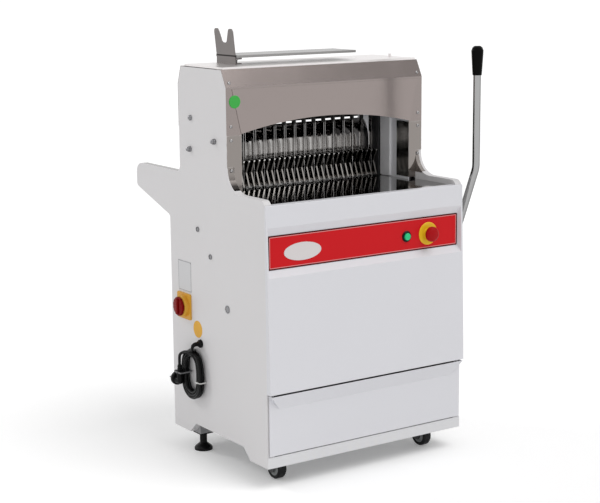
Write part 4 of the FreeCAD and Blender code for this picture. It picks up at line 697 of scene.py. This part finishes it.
# acorn nuts, screws and the blind plug of the left panel: (y, z, radius, rise)
capSettings = {"outside": -310, "nuts": ((114, 913, 7.8, 8), (119, 831, 8, 13.5), (-6, 861.5, 8, 13.5)),
               "heads": ((89, 623, 7, 2.6), (26, 559, 7, 2.6), (-54.5, 434.5, 10.5, 1.9))}
mesh = bmesh.new()
for y, z, radius, rise in capSettings["nuts"]:
    seat = (capSettings["outside"], y, z)
    spun(mesh, [(0, 0), (0, radius), (rise * 0.36, radius), (rise * 0.42, radius * 0.92), (rise * 0.42, 0)],
         (-1, 0, 0), seat, steps=6)
    spun(mesh, [(rise * 0.4, 0), (rise * 0.4, radius * 0.76), (rise * 0.62, radius * 0.72),
                (rise * 0.8, radius * 0.58), (rise * 0.93, radius * 0.34), (rise, 0)],
         (-1, 0, 0), seat, steps=28)
for y, z, radius, rise in capSettings["heads"]:
    seat = (capSettings["outside"], y, z)
    spun(mesh, [(0, 0), (0, radius), (rise * 0.7, radius), (rise, radius * 0.94), (rise, radius * 0.74),
                (rise * 0.55, radius * 0.68), (rise * 0.55, 0)], (-1, 0, 0), seat, steps=28)
panelCaps = smooth(newPiece("panelCaps", mesh, capSteel), angle=50)
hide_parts("panel_fasteners")
print("screws and caps made")

# round dial of the isolator: notched rim and a finger bar across its face
dialSettings = {"centre": (-326.8, 166, 405), "radius": 25.8, "depth": 6.6, "notches": 14, "notchDepth": 0.9,
                "bar": (5.8, 21.5), "barFront": -337.8, "barBack": -332.6, "barRound": 2.2,
                "stem": (6.9, 19)}
mesh = bmesh.new()
dialX, dialY, dialZ = dialSettings["centre"]
radius, depth = dialSettings["radius"], dialSettings["depth"]
spun(mesh, [(0, 0), (0, radius - 1.3), (1.1, radius), (depth - 1.8, radius), (depth - 0.5, radius - 1),
            (depth, radius - 2.6), (depth, 0)], (-1, 0, 0), dialSettings["centre"], steps=112)
for vertex in mesh.verts:
    away = Vector((0, vertex.co.y - dialY, vertex.co.z - dialZ))
    if away.length > radius - 2:
        turn = math.atan2(away.z, away.y)
        notch = max(0, math.cos(turn * dialSettings["notches"])) * dialSettings["notchDepth"]
        vertex.co -= away.normalized() * notch
halfBar, barRise = dialSettings["bar"]
block(mesh, (dialSettings["barFront"], dialY - halfBar, dialZ - barRise),
      (dialSettings["barBack"], dialY + halfBar, dialZ + barRise), dialSettings["barRound"], 4)
stemRadius, stemDepth = dialSettings["stem"]
spun(mesh, [(0, 0), (0, stemRadius), (stemDepth, stemRadius), (stemDepth, 0)], (1, 0, 0),
     (dialX - 0.2, dialY, dialZ), steps=32)
isolatorDial = newPiece("isolatorDial", mesh, knobRed, body="isolator_handle")
smooth(isolatorDial, angle=35)
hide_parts("isolator_knob")

# rubber lip under the rear edge of the hood, two millimetres above the pusher's plate when it passes
lipSettings = {"half": 300, "back": 175.9, "thick": 1.6, "low": 877, "high": 902, "round": 0.5}
mesh = bmesh.new()
block(mesh, (-lipSettings["half"], lipSettings["back"] - lipSettings["thick"], lipSettings["low"]),
      (lipSettings["half"], lipSettings["back"], lipSettings["high"]), lipSettings["round"])
newPiece("hoodLip", mesh, blackRubber)

# two bolts with washers hold the fork's foot to the lid
boltSettings = {"places": ((-205, 62), (-205, 100)), "seat": 1052, "washer": (7.5, 1.0), "head": (5.0, 4.6)}
mesh = bmesh.new()
washerRadius, washerThick = boltSettings["washer"]
headRadius, headRise = boltSettings["head"]
for x, y in boltSettings["places"]:
    spun(mesh, [(0, 0), (0, washerRadius), (washerThick, washerRadius), (washerThick, 0)], (0, 0, 1),
         (x, y, boltSettings["seat"]), steps=32)
    spun(mesh, [(0, 0), (0, headRadius), (headRise - 0.9, headRadius), (headRise, headRadius * 0.84),
                (headRise, 0)], (0, 0, 1), (x, y, boltSettings["seat"] + washerThick), steps=6)
smooth(newPiece("forkBolts", mesh, screwSteel), angle=25)
print("dial and bolts made")

# plain sticker on the hood, plain amber sticker on the side, oval badge without a name on the strip
stickerSettings = {
    "hoodSticker": {"centre": (-285, -65, 965), "outward": (0, -1, 0), "radius": 16.5, "thick": 1.5,
                    "flatten": 1.0, "material": stickerGreen, "slot": "hood_face"},
    "sideSticker": {"centre": (-310, 100, 352), "outward": (-1, 0, 0), "radius": 23, "thick": 0.4,
                    "flatten": 1.0, "material": stickerAmber, "slot": "left_side_panel"},
    "stripBadge": {"centre": (-197, -232.8, 602), "outward": (0, -1, 0), "radius": 56, "thick": 0.8,
                   "flatten": 0.41, "material": badgePale, "slot": "control_strip"},
}
for name, settings in stickerSettings.items():
    mesh = bmesh.new()
    radius, thick = settings["radius"], settings["thick"]
    spun(mesh, [(0, 0), (0, radius), (thick * 0.6, radius), (thick, radius - thick * 0.6), (thick, 0)],
         settings["outward"], settings["centre"], steps=64)
    bmesh.ops.scale(mesh, verts=mesh.verts, vec=(1, 1, settings["flatten"]),
                    space=Matrix.Translation(-Vector(settings["centre"])))
    smooth(newPiece(name, mesh, settings["material"]), angle=30)

# thin data plate riveted to the left panel: brushed silver foil with a thin dark frame, nothing printed
plateSettings = {"centre": (163.5, 486.5), "half": (34.5, 41.5), "frame": (1.5, 2.7), "blur": 0.2,
                 "front": -310.5, "back": -309.9, "round": 0.25, "rivetInset": 3.5,
                 "foil": (0.60, 0.60, 0.61, 1), "dark": (0.16, 0.16, 0.17, 1)}
plateFoil, tree, where = startMaterial("plateFoil")
inset = rimDistance(tree, where, "YZ", at(0, *plateSettings["centre"]), plateSettings["half"], "MINIMUM")
framed = band(tree, inset, *plateSettings["frame"], plateSettings["blur"])
lay(tree, where, grainGroup, relief=0.04, depth=0.0001, metallic=0.3,
    Color=mixed(tree, framed, plateSettings["foil"], plateSettings["dark"]), Stretch=(1, 1, 60), Contrast=0.12,
    Roughness=0.34, Spread=0.1)

mesh = bmesh.new()
plateY, plateZ = plateSettings["centre"]
halfY, halfZ = plateSettings["half"]
block(mesh, (plateSettings["front"], plateY - halfY, plateZ - halfZ),
      (plateSettings["back"], plateY + halfY, plateZ + halfZ), plateSettings["round"])
for y in (plateY - halfY + plateSettings["rivetInset"], plateY + halfY - plateSettings["rivetInset"]):
    for z in (plateZ - halfZ + plateSettings["rivetInset"], plateZ + halfZ - plateSettings["rivetInset"]):
        spun(mesh, [(0, 1.5), (0.5, 1.4), (0.9, 0.8), (1.0, 0)], (-1, 0, 0), (plateSettings["front"], y, z),
             steps=16)
newPiece("dataPlate", mesh, plateFoil)

# thumbscrew that clamps the tray's bracket to the fork; stud and hub: start, end, radius, and the end's
# chamfer along and across
thumbSettings = {"axis": (42, 1064), "stud": (-219, -196, 2.2, 1, 0.8), "hub": (-215, -208, 4.6, 2, 1.2),
                 "wing": (2.0, 12.5, 5.0), "wingRound": 0.8}
mesh = bmesh.new()
y, z = thumbSettings["axis"]
for start, end, radius, chamfer, tip in (thumbSettings["stud"], thumbSettings["hub"]):
    spun(mesh, [(0, 0), (0, radius), (end - start - chamfer, radius), (end - start, radius - tip),
                (end - start, 0)], (1, 0, 0), (start, y, z), steps=20)
hubStart, hubEnd = thumbSettings["hub"][:2]
wingThick, wingReach, wingWide = thumbSettings["wing"]
middle = (hubStart + hubEnd) / 2
block(mesh, (middle - wingThick / 2, y - wingWide / 2, z - wingReach),
      (middle + wingThick / 2, y + wingWide / 2, z), thumbSettings["wingRound"], 3)
smooth(newPiece("thumbScrew", mesh, screwSteel), angle=50)
print("stickers, plate and thumbscrew made")


def seenDirectly(tree):
    # 1 for the rays that show the surroundings themselves, 0 for the light they give
    rays = tree.nodes.new("ShaderNodeLightPath").outputs
    return calc(tree, "ADD", calc(tree, "ADD", rays["Is Camera Ray"], rays["Is Glossy Ray"]),
                rays["Is Transmission Ray"], clamp=True)


# pale floor that runs white into the distance
floorSettings = {"half": 60, "white": grey(0.96), "glow": 0.2}
floorMesh = bmesh.new()
bmesh.ops.create_grid(floorMesh, x_segments=1, y_segments=1, size=floorSettings["half"])
floorData = bpy.data.meshes.new("studioFloor")
floorMesh.to_mesh(floorData)
floorMesh.free()
studioFloor = bpy.data.objects.new("studioFloor", floorData)
bpy.context.scene.collection.objects.link(studioFloor)
floorPaper = bpy.data.materials.new("floorPaper")
floorPaper.use_nodes = True
tree = floorPaper.node_tree
paper = tree.nodes["Principled BSDF"]
paper.inputs["Base Color"].default_value = floorSettings["white"]
paper.inputs["Roughness"].default_value = 0.9
paper.inputs["Specular IOR Level"].default_value = 0.1
paper.inputs["Emission Color"].default_value = grey(1)
glow = calc(tree, "MULTIPLY", seenDirectly(tree), floorSettings["glow"])
feed(tree, paper.inputs["Emission Strength"], glow)
floorData.materials.append(floorPaper)

# an even white room, a soft key from the front right and above, and a smaller one from the rear left
worldSettings = {"fill": 0.53, "backdrop": 1.0}
world = bpy.data.worlds.new("studio")
bpy.context.scene.world = world
world.use_nodes = True
tree = world.node_tree
backdrop = tree.nodes["Background"]
backdrop.inputs["Color"].default_value = grey(1)
feed(tree, backdrop.inputs["Strength"],
     calc(tree, "MULTIPLY_ADD", seenDirectly(tree), worldSettings["backdrop"] - worldSettings["fill"],
          worldSettings["fill"]))

lampSettings = {"keyLamp": {"from": (0.25, -0.45, 0.86), "spread": 40, "strength": 1.08},
                "sideLamp": {"from": (-0.48, 0.62, 0.62), "spread": 10, "strength": 0.45}}
for name, settings in lampSettings.items():
    lamp = bpy.data.lights.new(name, "SUN")
    lamp.angle = math.radians(settings["spread"])
    lamp.energy = settings["strength"]
    holder = bpy.data.objects.new(name, lamp)
    bpy.context.scene.collection.objects.link(holder)
    holder.location = Vector(settings["from"]) * 4
    holder.rotation_euler = (-Vector(settings["from"])).to_track_quat("-Z", "Y").to_euler()

bpy.context.scene.view_settings.view_transform = "Standard"
print("done")
